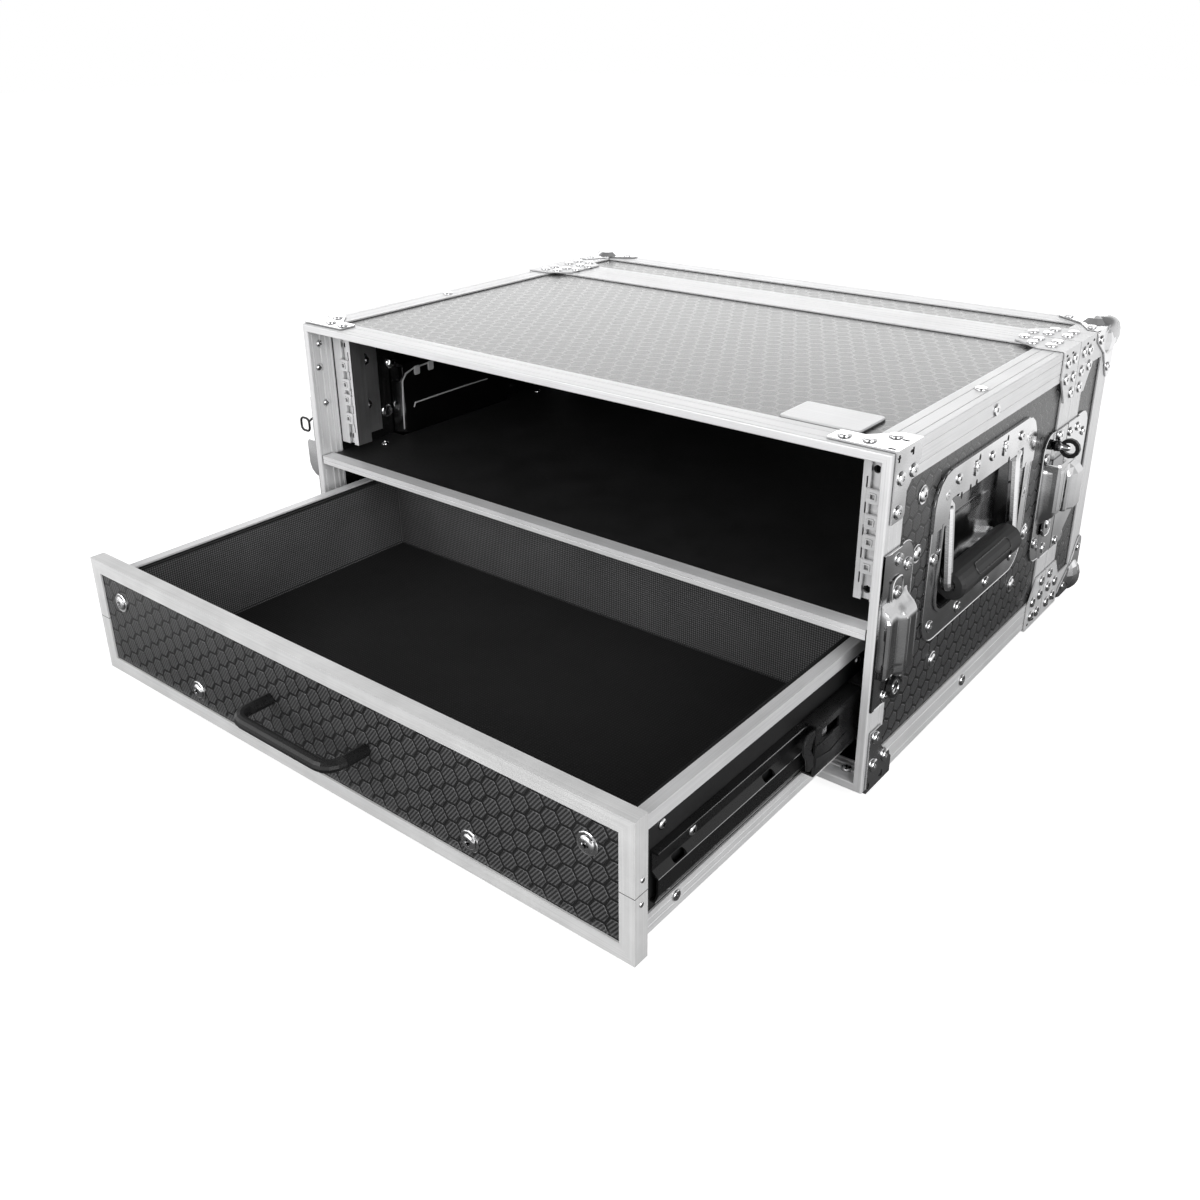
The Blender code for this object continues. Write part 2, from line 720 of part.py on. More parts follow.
def make_frames():
    front = mitred_frame("front_frame", front_profile(), HALF_WIDTH, 0, BODY_HEIGHT)
    finish(front, "aluminium")
    rear = mitred_frame("rear_frame", rear_profile(), HALF_WIDTH, 0, BODY_HEIGHT)
    add(rear, *rear_brackets(BODY_DEPTH - FIT, BODY_DEPTH - REAR_BRACKET_REACH))
    add(rear, *rivet_bosses(BODY_DEPTH - EDGE_LEG / 2))
    finish(rear, "aluminium")


def make_edge_trims():
    start = EDGE_LEG + FIT
    end = BODY_DEPTH - EDGE_LEG - FIT
    for level, level_name in ((1, "top"), (-1, "bottom")):
        outline = at_edge(edge_section(), 1, level, 0, BODY_HEIGHT)
        right = prism("edge_trim_" + level_name + "_right", "XZ", outline, start, end)
        finish(right, "aluminium")
        finish(twin(right, "edge_trim_" + level_name + "_left"), "aluminium")


# Shelf

def make_shelf():
    reach = HALF_WIDTH - WALL - RIB_HEIGHT - FIT
    front = SHELF_SETBACK
    back = front + SHELF_TRIM_DEPTH
    low = SHELF_BOTTOM
    high = SHELF_TOP
    skin = SHELF_TRIM_SKIN
    middle = (low + high) / 2
    section = [(front, low), (back, low), (back, low + skin), (front + skin, low + skin)]
    section += [(front + skin, high - skin), (back, high - skin), (back, high), (front, high)]
    section += [(front, middle + GROOVE_HALF), (front + GROOVE_DEPTH, middle), (front, middle - GROOVE_HALF)]
    finish(prism("shelf_trim", "YZ", section, -reach, reach), "aluminium")
    low_board = low + skin + FIT
    high_board = high - skin - FIT
    board = block(
        "shelf",
        (-(INSIDE_HALF - FIT), RAIL_FRONT + RAIL_SKIN, low_board),
        (INSIDE_HALF - FIT, SHELF_BACK, high_board),
    )
    tongue_front = front + skin + FIT
    add(board, block("tongue", (-reach, tongue_front, low_board), (reach, RAIL_FRONT + 2 * RAIL_SKIN, high_board)))
    half_y = DISH_MOUTH[0] / 2 + DISH_SKIN + 2 * FIT
    dish_back = DISH_FACE - DISH_DEPTH - DISH_SKIN - 2 * FIT
    for side in (-1, 1):
        ends = sorted((side * dish_back, side * HALF_WIDTH))
        notch_low = (ends[0], DISH_CENTRE[0] - half_y, low_board - MM)
        notch_high = (ends[1], DISH_CENTRE[0] + half_y, high_board + MM)
        cut(board, block("notch", notch_low, notch_high))
    finish(board, "black_board")


# Rack rails

def rail_section():
    """Section of a rail at the right: grooved face, inboard return and a flange to the side board."""
    wall = INSIDE_HALF - FIT
    lip_outer = HALF_WIDTH - WALL - RIB_HEIGHT - FIT
    front = RAIL_FRONT
    skin = RAIL_SKIN
    floor = front + RAIL_GROOVE_DEPTH
    low, high = RAIL_GROOVE
    inner = RAIL_LIP_INNER
    flange = wall - RAIL_FLANGE_THICK
    points = [(lip_outer, front), (high, front), (high, floor), (low, floor), (low, front)]
    points += [(inner, front), (inner, front + RAIL_RETURN), (inner + skin, front + RAIL_RETURN)]
    points += [(inner + skin, front + skin), (low - skin, front + skin), (low - skin, floor + skin)]
    points += [(high + skin, floor + skin), (high + skin, front + skin), (flange, front + skin)]
    points += [(flange, front + RAIL_FLANGE_DEPTH), (wall, front + RAIL_FLANGE_DEPTH)]
    points += [(wall, front + skin), (lip_outer, front + skin)]
    return points


def rack_hole_heights():
    """Heights of the rail's holes, from the standard spacing inside each rack unit."""
    low = SHELF_TOP + RAIL_GAP
    spacing = sum(RACK_HOLE_STEPS)
    edge = (spacing - 2 * RACK_HOLE_STEPS[0]) / 2
    heights = []
    for unit in range(RACK_UNITS):
        first = low + unit * RACK_UNIT + edge
        for step in range(3):
            heights.append(first + step * RACK_HOLE_STEPS[0])
    return heights


def make_rails():
    low = SHELF_TOP + RAIL_GAP
    high = low + RACK_UNITS * RACK_UNIT
    rail = prism("rack_rail_right", "XY", rail_section(), low, high)
    heights = rack_hole_heights()
    cutters = []
    for height in heights:
        centre = (RACK_HOLE_HALF_SPACING, RAIL_FRONT, height)
        cutters.append(rod("hole", centre, (0, 1, 0), 0, RAIL_HOLE_CUT, RACK_HOLE_RADIUS, 8))
    width, length = RAIL_SLOT
    slot_x = (RAIL_LIP_INNER + RAIL_GROOVE[0] + RAIL_SKIN / 2) / 2
    for first, second in zip(heights, heights[1:]):
        middle = (first + second) / 2
        cutters.append(
            block(
                "slot",
                (slot_x - width / 2, RAIL_FRONT - RAIL_SKIN, middle - length / 2),
                (slot_x + width / 2, RAIL_FRONT + 2 * RAIL_SKIN, middle + length / 2),
            )
        )
    cut(rail, *cutters)
    finish(rail, "aluminium")
    finish(twin(rail, "rack_rail_left"), "aluminium")


# Recessed handles

def dish_loop(x, shrink, bottom_shrink):
    """The mouth's outline at one depth, drawn in by the slope of the walls."""
    half = DISH_MOUTH[0] / 2 - shrink
    low = DISH_MOUTH_BOTTOM + bottom_shrink
    high = DISH_MOUTH_BOTTOM + DISH_MOUTH[1] - shrink
    corner = DISH_MOUTH_ROUND - min(shrink, 0)
    top_corner = DISH_TOP_ROUND - min(shrink, 0)
    outline = rounded_rectangle(
        (DISH_CENTRE[0] - half, low), (DISH_CENTRE[0] + half, high), (corner, corner, top_corner, top_corner)
    )
    return [(x, y, z) for y, z in outline]


def cover_outline():
    """The cover over the top of the dish, with a notch at each rod of the bail."""
    y0 = DISH_CENTRE[0] - DISH_PLATE[0] / 2
    y1 = DISH_CENTRE[0] + DISH_PLATE[0] / 2
    top = DISH_CENTRE[1] + DISH_PLATE[1] / 2
    half = BAIL_ELBOW + BAIL_NECK + FIT
    notch_top = BAIL_PIVOT[1] + BAIL_RADIUS + 2 * FIT
    ease = COVER_NOTCH_ROUND
    left_rod = DISH_CENTRE[0] - BAIL_HALF_SPACING
    right_rod = DISH_CENTRE[0] + BAIL_HALF_SPACING
    points = [(y0, COVER_LOW), (y0 + COVER_EAR, COVER_LOW)]
    points += arc((left_rod - half + ease, notch_top - ease), ease, 180, 90)
    points += [(left_rod + half, notch_top), (left_rod + half, COVER_HIGH)]
    points += [(right_rod - half, COVER_HIGH), (right_rod - half, notch_top)]
    points += arc((right_rod + half - ease, notch_top - ease), ease, 90, 0)
    points += [(y1 - COVER_EAR, COVER_LOW), (y1, COVER_LOW)]
    points += arc((y1 - DISH_PLATE_ROUND, top - DISH_PLATE_ROUND), DISH_PLATE_ROUND, 0, 90)
    points += arc((y0 + DISH_PLATE_ROUND, top - DISH_PLATE_ROUND), DISH_PLATE_ROUND, 90, 180)
    return points


def make_dish():
    """A pressed dish: flange, sloping walls, ribbed back, bearings for the bail and riveted cover."""
    half_y = DISH_PLATE[0] / 2
    half_z = DISH_PLATE[1] / 2
    low = (DISH_CENTRE[0] - half_y, DISH_CENTRE[1] - half_z)
    high = (DISH_CENTRE[0] + half_y, DISH_CENTRE[1] + half_z)
    outline = rounded_rectangle(low, high, (DISH_PLATE_ROUND,) * 4)
    dish = prism("handle_dish_right", "YZ", outline, DISH_SEAT, DISH_FACE)
    lip = DISH_LIP_WIDTH
    lip_outline = rounded_rectangle(
        (DISH_CENTRE[0] - DISH_MOUTH[0] / 2 - lip, DISH_MOUTH_BOTTOM - lip),
        (DISH_CENTRE[0] + DISH_MOUTH[0] / 2 + lip, COVER_LOW + lip),
        (DISH_MOUTH_ROUND + lip, DISH_MOUTH_ROUND + lip, 0, 0),
    )
    add(dish, prism("lip", "YZ", lip_outline, DISH_SEAT, DISH_FACE + DISH_LIP))
    floor = DISH_FACE - DISH_DEPTH
    pan = loft("pan", [dish_loop(floor - DISH_SKIN, DISH_SLOPE - DISH_SKIN, DISH_SLOPE - DISH_SKIN),
                       dish_loop(DISH_SEAT, -DISH_SKIN, -DISH_SKIN)])
    add(dish, pan)
    hollow = loft("hollow", [dish_loop(floor, DISH_SLOPE, DISH_SLOPE),
                             dish_loop(DISH_FACE, 0, 0),
                             dish_loop(DISH_FACE + 2 * DISH_LIP, 0, 0)])
    cut(dish, hollow)
    rib_loops = []
    rib_proud = DISH_RIB[2]
    for x, shrink in ((floor - DISH_SKIN / 2, 0), (floor + rib_proud, rib_proud)):
        half_length = DISH_RIB[0] / 2 - shrink
        half_height = DISH_RIB[1] / 2 - shrink
        middle = (DISH_CENTRE[0], DISH_CENTRE[1] + DISH_RIB_ABOVE)
        rib_outline = rounded_rectangle(
            (middle[0] - half_length, middle[1] - half_height),
            (middle[0] + half_length, middle[1] + half_height),
            (half_height,) * 4,
        )
        rib_loops.append([(x, y, z) for y, z in rib_outline])
    add(dish, loft("rib", rib_loops))
    pivot_x, pivot_z = BAIL_PIVOT
    add(dish, prism("cover", "YZ", cover_outline(), DISH_FACE - DISH_SKIN / 4, DISH_FACE + PLATE))
    wall_end = DISH_CENTRE[0] - DISH_MOUTH[0] / 2 - DISH_SKIN / 2
    bearing_end = DISH_CENTRE[0] - BAIL_HALF_SPACING - BAIL_ELBOW - BAIL_NECK - FIT
    for mirror in (1, -1):
        y_a = DISH_CENTRE[0] + mirror * (wall_end - DISH_CENTRE[0])
        y_b = DISH_CENTRE[0] + mirror * (bearing_end - DISH_CENTRE[0])
        bearing = block(
            "bearing",
            (floor - DISH_SKIN / 2, min(y_a, y_b), pivot_z - BEARING_HALF_HEIGHT),
            (DISH_FACE + PLATE / 2, max(y_a, y_b), pivot_z + BEARING_HALF_HEIGHT),
        )
        add(dish, bearing)
    bore = rod(
        "bore", (pivot_x, DISH_CENTRE[0], pivot_z), (0, 1, 0),
        -(BAIL_HALF_SPACING + BAIL_PIN_REACH + FIT), BAIL_HALF_SPACING + BAIL_PIN_REACH + FIT,
        BAIL_PIN_RADIUS + FIT,
    )
    cut(dish, bore)
    finish(dish, "zinc_plate")
    finish(twin(dish, "handle_dish_left"), "zinc_plate")


def make_bail():
    """The lifting bail: a bent bar whose turned-out ends are its pivots, and a rubber grip on it."""
    pivot_x, pivot_z = BAIL_PIVOT
    y0 = DISH_CENTRE[0]
    half = BAIL_HALF_SPACING
    foot = Vector((math.sin(BAIL_LEAN), 0, -math.cos(BAIL_LEAN))) * GRIP_DROP
    pivot = Vector((pivot_x, y0, pivot_z))
    low = pivot + foot
    corners = []
    for mirror in (-1, 1):
        tip = pivot + Vector((0, mirror * (half + BAIL_PIN_REACH), 0))
        neck = pivot + Vector((0, mirror * (half + BAIL_ELBOW + BAIL_NECK), 0))
        stem = pivot + Vector((0, mirror * half, 0))
        bend = low + Vector((0, mirror * half, 0))
        corners += [tip, neck, stem, bend] if mirror < 0 else [bend, stem, neck, tip]
    bends = (BAIL_ELBOW, BAIL_BEND, BAIL_BEND, BAIL_ELBOW)
    path = bent_path(corners[1:-1], bends)
    radii = [BAIL_PIN_RADIUS] * 2 + [BAIL_RADIUS] * (len(path) - 2) + [BAIL_PIN_RADIUS] * 2
    bail = bent_rod("handle_bail_right", [corners[0]] + path + [corners[-1]], radii)
    grip = grip_solid(low)
    for side, side_name in ((1, "right"), (-1, "left")):
        place = Vector((side * pivot_x, y0, pivot_z))
        axis = axis_empty("handle_pivot_" + side_name, place)
        if side > 0:
            finish(bail, "chrome", axis)
            finish(grip, "rubber", axis)
        else:
            for source, name, paint in ((bail, "handle_bail_left", "chrome"), (grip, "handle_grip_left", "rubber")):
                copy = twin(source, name, shift=place)
                finish(copy, paint, axis)


def ball_profile(radius, steps):
    points = []
    for step in range(steps + 1):
        angle = math.pi * step / steps
        size = radius * math.sin(angle)
        points.append((-radius * math.cos(angle), size if 0 < step < steps else 0))
    return points


def grip_solid(centre):
    """A rubber sleeve with eased ends, bored for the bar, and a long shallow pocket in its face."""
    half = GRIP_LENGTH / 2
    ease = GRIP_EASE
    profile = [(-half, 0), (-half, GRIP_RADIUS - ease), (-half + ease, GRIP_RADIUS)]
    profile += [(half - ease, GRIP_RADIUS), (half, GRIP_RADIUS - ease), (half, 0)]
    grip = turned("handle_grip_right", profile, centre, (0, 1, 0), 20)
    length, height, depth = GRIP_POCKET
    outline = rounded_rectangle((-length / 2, -height / 2), (length / 2, height / 2), (height / 2.2,) * 4, 2)
    pocket = prism("pocket", "YZ", outline, GRIP_RADIUS - depth, 2 * GRIP_RADIUS)
    turn = Matrix.Rotation(GRIP_POCKET_TURN, 4, "Y")
    pocket.data.transform(Matrix.Translation(centre) @ turn)
    cut(grip, pocket)
    cut(grip, rod("bore", centre, (0, 1, 0), -GRIP_LENGTH, GRIP_LENGTH, BAIL_RADIUS + FIT))
    return grip


# Twist latches

def raised_housing(seam, sides, step, heights, span):
    """A pressed box over the step of a latch plate, low beside the seam and higher further off."""
    near, far = (seam + value for value in sides)
    step_low, step_high = (seam + value for value in step)
    low, high = span
    base = PLATE_SEAT + PLATE / 2
    under = BOARD_FACE + FIT + PLATE / 2
    fold = seam + EDGE_LEG + FIT
    low_rise = PLATE_FACE + heights[0]
    high_rise = PLATE_FACE + heights[1]
    ease = HOUSING_EASE

    def section(z, share):
        rise_low = base + (low_rise - base) * share
        rise_high = base + (high_rise - base) * share
        loop = [(base, near), (rise_low - ease * share, near), (rise_low, near + ease)]
        loop += [(rise_low, step_low), (rise_high, step_high)]
        loop += [(rise_high, far - 3 * ease), (rise_high - ease * share, far - 2 * ease)]
        loop += [(under, far), (under, fold + LATCH_STEP), (base, fold)]
        return [(x, y, z) for x, y in loop]

    foot_share, knee_share, top_share = HOUSING_SHARES
    return loft("housing", [
        section(low, foot_share),
        section(low + ease, 1.0),
        section(high - HOUSING_SLOPE, 1.0),
        section(high - HOUSING_SLOPE / 3, knee_share),
        section(high, top_share),
    ])


def latch_base_solid(name):
    """The base at the front right: a plate that steps down off the section, with its housing."""
    fold = EDGE_LEG + FIT
    section = [(PLATE_FACE, LATCH_NEAR), (PLATE_FACE, fold + LATCH_STEP / 2)]
    section += [(BOARD_FACE + FIT + PLATE, fold + LATCH_STEP * 1.5)]
    section += [(BOARD_FACE + FIT + PLATE, LATCH_FAR), (BOARD_FACE + FIT, LATCH_FAR)]
    section += [(BOARD_FACE + FIT, fold + LATCH_STEP), (PLATE_SEAT, fold)]
    section += [(PLATE_SEAT, LATCH_NEAR)]
    plate = prism(name, "XY", section, LATCH_LOW, LATCH_HIGH)
    outline = rounded_rectangle(
        (LATCH_NEAR - MM, LATCH_LOW), (LATCH_FAR, LATCH_HIGH), (0, LATCH_ROUND, LATCH_ROUND, 0)
    )
    keep_inside(plate, prism("outline", "YZ", outline, BOARD_FACE - BOARD, PLATE_FACE + PLATE))
    near = HOUSING_SIDES[0]
    add(plate, raised_housing(0, HOUSING_SIDES, HOUSING_STEP, HOUSING_HEIGHTS, (HOUSING_LOW, HOUSING_HIGH)))
    tab_outline = rounded_rectangle(
        (LATCH_TAB[0], HOUSING_HIGH - HOUSING_SLOPE),
        (LATCH_TAB[1], LATCH_LOW + LATCH_TAB_RISE),
        (0, 0, *LATCH_TAB_ROUND),
        3,
    )
    add(plate, prism("tab", "YZ", tab_outline, PLATE_FACE - PLATE / 2, PLATE_FACE + LATCH_TAB_PROUD))
    height, thick, depth = HOUSING_MOUTH
    middle = (HOUSING_LOW + HOUSING_HIGH - HOUSING_SLOPE) / 2
    mouth = block(
        "mouth",
        (PLATE_FACE + FIT, near - MM, middle - height / 2),
        (PLATE_FACE + FIT + thick, near + depth, middle + height / 2),
    )
    cut(plate, mouth)
    return plate


def key_solid(standing):
    """A key at the front right: a stem in the plate and its ring, folded down or standing out."""
    y = KEY_BACK
    z = KEY_HEIGHT
    base = PLATE_FACE + FIT
    stem = [(0, 0), (0, KEY_STEM_RADIUS), (KEY_STEM_LENGTH - KEY_STEM_EASE, KEY_STEM_RADIUS)]
    stem += [(KEY_STEM_LENGTH, KEY_STEM_RADIUS - KEY_STEM_EASE), (KEY_STEM_LENGTH, 0)]
    key = turned("key", stem, (base, y, z), (1, 0, 0), KEY_SIDES)
    outer, inner, thick = KEY_RING
    if standing:
        plane = "XZ"
        centre = (base + KEY_STEM_LENGTH + outer - KEY_STEM_EASE, z)
        low = y - thick / 2
    else:
        plane = "YZ"
        centre = (y + KEY_RING_SHIFT[0], z + KEY_RING_SHIFT[1])
        low = base + (KEY_STEM_LENGTH - thick) / 2
    ring = prism("ring", plane, arc(centre, outer, 0, 330, KEY_SIDES - 1), low, low + thick)
    hole = arc(centre, inner, 0, 330, KEY_SIDES - 1)
    cut(ring, prism("hole", plane, hole, low - thick, low + 2 * thick))
    return add(key, ring)


def make_latches():
    """Four latches. The left front one is turned over, and so are both rear ones."""
    middle_z = LATCH_MIDDLE
    middle_y = BODY_DEPTH / 2
    key_y = KEY_BACK
    key_z = KEY_HEIGHT
    base_right = latch_base_solid("latch_base_front_right")
    flat_key = key_solid(False)
    tall_key = key_solid(True)
    places = {
        "front_right": ((PLATE_FACE, key_y, key_z), None),
        "front_left": ((-PLATE_FACE, key_y, 2 * middle_z - key_z), "Y"),
        "rear_right": ((PLATE_FACE, BODY_DEPTH - key_y, 2 * middle_z - key_z), "X"),
        "rear_left": ((-PLATE_FACE, BODY_DEPTH - key_y, 2 * middle_z - key_z), "X"),
    }
    for place_name, (place, turn) in places.items():
        source = tall_key if "rear" in place_name else flat_key
        base_name = "latch_base_" + place_name
        key_name = "latch_key_" + place_name
        if turn is None:
            base = base_right
            key = twin(source, key_name, mirror=(1, 1, 1))
        elif turn == "Y":
            base = turned_twin(base_right, base_name, (0, 0, middle_z), "Y")
            key = turned_twin(source, key_name, (0, 0, middle_z), "Y")
        else:
            base = turned_twin(base_right, base_name, (0, middle_y, middle_z), "X")
            key = turned_twin(source, key_name, (0, middle_y, middle_z), "X")
            if "left" in place_name:
                base_left = twin(base, base_name)
                bpy.data.objects.remove(base, do_unlink=True)
                base = base_left
                key_left = twin(key, key_name)
                bpy.data.objects.remove(key, do_unlink=True)
                key = key_left
        base.name = base_name
        key.name = key_name
        finish(base, "zinc_plate")
        finish(key, "black_steel", axis_empty("key_axis_" + place_name, place))
    for spare in (flat_key, tall_key):
        bpy.data.objects.remove(spare, do_unlink=True)


def make_keepers():
    """The lid's half of each rear latch: a stepped plate with a raised catch."""
    seam = SEAM_LID
    fold = seam + EDGE_LEG + FIT
    far = BODY_DEPTH + KEEPER_REACH
    section = [(PLATE_FACE, seam), (PLATE_FACE, fold + LATCH_STEP / 2)]
    section += [(BOARD_FACE + FIT + PLATE, fold + LATCH_STEP * 1.5), (BOARD_FACE + FIT + PLATE, far)]
    section += [(BOARD_FACE + FIT, far), (BOARD_FACE + FIT, fold + LATCH_STEP), (PLATE_SEAT, fold)]
    section += [(PLATE_SEAT, seam)]
    plate = prism("latch_keeper_right", "XY", section, LATCH_LOW, LATCH_HIGH)
    corner = LATCH_ROUND
    outline = [(seam - MM, LATCH_LOW), (seam + EDGE_LEG, LATCH_LOW), (far, LATCH_LOW + KEEPER_CORNER)]
    outline += arc((far - corner, LATCH_HIGH - corner), corner, 0, 90)
    outline += [(seam - MM, LATCH_HIGH)]
    keep_inside(plate, prism("outline", "YZ", outline, BOARD_FACE - BOARD, PLATE_FACE + PLATE))
    span = tuple(LATCH_LOW + rise for rise in KEEPER_RISE)
    add(plate, raised_housing(BODY_DEPTH, KEEPER_CATCH, KEEPER_STEP, KEEPER_HEIGHTS, span))
    near = BODY_DEPTH + KEEPER_CATCH[0]
    deep, thick = STAPLE_GAP
    staple = block(
        "staple_gap",
        (PLATE_FACE + FIT, near - MM, LATCH_LOW + STAPLE_RISE[0]),
        (PLATE_FACE + FIT + thick, near + deep, LATCH_LOW + STAPLE_RISE[1]),
    )
    cut(plate, staple)
    finish(plate, "zinc_plate", LID_AXIS)
    finish_moved(twin(plate, "latch_keeper_left"), "zinc_plate", LID_AXIS)


def finish_moved(thing, paint, parent):
    """Finishes a copy whose mesh is already measured from its parent."""
    thing.data.transform(Matrix.Translation(parent.location))
    return finish(thing, paint, parent)


# Drawer

def make_drawer_front():
    front = DRAWER_FRONT
    skin = DRAWER_TRIM_SKIN
    depth = DRAWER_TRIM_DEPTH
    profile = [(0, front), (DRAWER_TRIM_LEG, front), (DRAWER_TRIM_LEG, front + skin), (skin, front + skin)]
    profile += [(skin, front + depth), (0, front + depth)]
    trim = mitred_frame("drawer_front_trim", profile, DRAWER_HALF, DRAWER_LOW, DRAWER_HIGH)
    finish(trim, "aluminium", DRAWER_AXIS)
    inset = skin + FIT
    start = front + skin + FIT
    panel = block(
        "drawer_front_panel",
        (-(DRAWER_HALF - inset), start, DRAWER_LOW + inset),
        (DRAWER_HALF - inset, start + DRAWER_FRONT_BOARD, DRAWER_HIGH - inset),
    )
    finish(panel, "laminate", DRAWER_AXIS)
    seat = start - FIT
    reach = front - PULL_REACH + PULL_RADIUS
    corners = [(-PULL_HALF_SPACING, seat, PULL_HEIGHT), (-PULL_HALF_SPACING, reach, PULL_HEIGHT)]
    corners += [(PULL_HALF_SPACING, reach, PULL_HEIGHT), (PULL_HALF_SPACING, seat, PULL_HEIGHT)]
    path = bent_path(corners, (PULL_BEND, PULL_BEND))
    pull = bent_rod("drawer_pull", path, [PULL_RADIUS] * len(path), 12)
    finish(pull, "black_steel", DRAWER_AXIS)


def make_drawer_tray():
    front = DRAWER_BODY_FRONT
    back = front + DRAWER_LENGTH
    skin = DRAWER_TRIM_SKIN
    low = DRAWER_SIDE_LOW + skin + FIT
    high = DRAWER_SIDE_TOP - skin - FIT
    side = DRAWER_SIDE_BOARD
    floor = low + DRAWER_FLOOR
    tray = block("drawer_tray", (-DRAWER_SIDE_HALF, front, low), (DRAWER_SIDE_HALF, back, high))
    inner = DRAWER_SIDE_HALF - side
    cut(tray, block("room", (-inner, front - side, floor), (inner, back - side, high + side)))
    finish(tray, "black_board", DRAWER_AXIS)
    outer = inner - FIT
    lining_front = front + FIT
    lining_back = back - side - FIT
    lining = block("drawer_lining", (-outer, lining_front, floor + FIT), (outer, lining_back, high - FIT))
    hollow = outer - LINING
    cut(lining, block(
        "room", (-hollow, lining_front - LINING, floor + FIT + LINING), (hollow, lining_back - LINING, high + side)
    ))
    finish(lining, "foam", DRAWER_AXIS)
    make_drawer_edges(front, back)


def make_drawer_edges(front, back):
    """Aluminium angles along the top and the bottom of each drawer side."""
    skin = DRAWER_TRIM_SKIN
    top = DRAWER_SIDE_TOP
    inner = DRAWER_SIDE_HALF - DRAWER_SIDE_BOARD
    outer = DRAWER_SKIN_OUT
    leg = DRAWER_EDGE_LEG
    section = [(inner, top), (inner, top - skin), (DRAWER_SKIN_IN, top - skin), (DRAWER_SKIN_IN, top - leg)]
    section += [(outer, top - leg), (outer, top)]
    trim = prism("drawer_edge_right", "XZ", section, front, back)
    finish(trim, "aluminium", DRAWER_AXIS)
    finish_moved(twin(trim, "drawer_edge_left"), "aluminium", DRAWER_AXIS)
    low = DRAWER_SIDE_LOW
    high = low + DRAWER_RAIL_HEIGHT
    foot = DRAWER_SIDE_HALF - 2 * leg
    groove = GROOVE_DEPTH
    section = [(foot, low), (outer, low)]
    for place in (low + leg / 2, low + leg):
        section += [(outer, place - GROOVE_HALF), (outer - groove, place), (outer, place + GROOVE_HALF)]
    section += [(outer, high), (DRAWER_SKIN_IN, high), (DRAWER_SKIN_IN, low + skin), (foot, low + skin)]
    rail = prism("drawer_base_rail_right", "XZ", section, front, back)
    finish(rail, "aluminium", DRAWER_AXIS)
    finish_moved(twin(rail, "drawer_base_rail_left"), "aluminium", DRAWER_AXIS)


# Drawer slides

def channel(web, lip, half_height, skin):
    """Section of a slide channel, open towards the lip: (x, distance from the centre height)."""
    inward = skin if lip > web else -skin
    points = [(web, -half_height), (lip, -half_height), (lip, -half_height + skin)]
    points += [(web + inward, -half_height + skin), (web + inward, half_height - skin)]
    points += [(lip, half_height - skin), (lip, half_height), (web, half_height)]
    return points


def beaded_channel(web, half_height, skin):
    """Section of the drawer's member: an upper lip, a web, and a bead pressed outwards along its foot."""
    proud, top, slope = SLIDE_BEAD
    ease, rise = SLIDE_BEAD_EASE
    lip = web + proud
    foot = -half_height
    points = [(web, half_height), (lip, half_height), (lip, half_height - skin), (web + skin, half_height - skin)]
    points += [(web + skin, top), (lip, top - slope), (lip, foot + rise), (lip - ease, foot), (web, foot)]
    points += [(web, foot + skin), (lip - ease - skin / 2, foot + skin), (lip - skin, foot + rise + skin / 2)]
    points += [(lip - skin, top - slope - skin / 2), (web, top - skin / 2)]
    return points


def oval_hole(y, z, length, height, low, high):
    """A cutter across the case with rounded ends, its middle at a height and a depth."""
    corner = height / 2
    outline = rounded_rectangle((y - length / 2, z - corner), (y + length / 2, z + corner), (corner * 0.98,) * 4, 3)
    return prism("oval_hole", "YZ", outline, low, high)


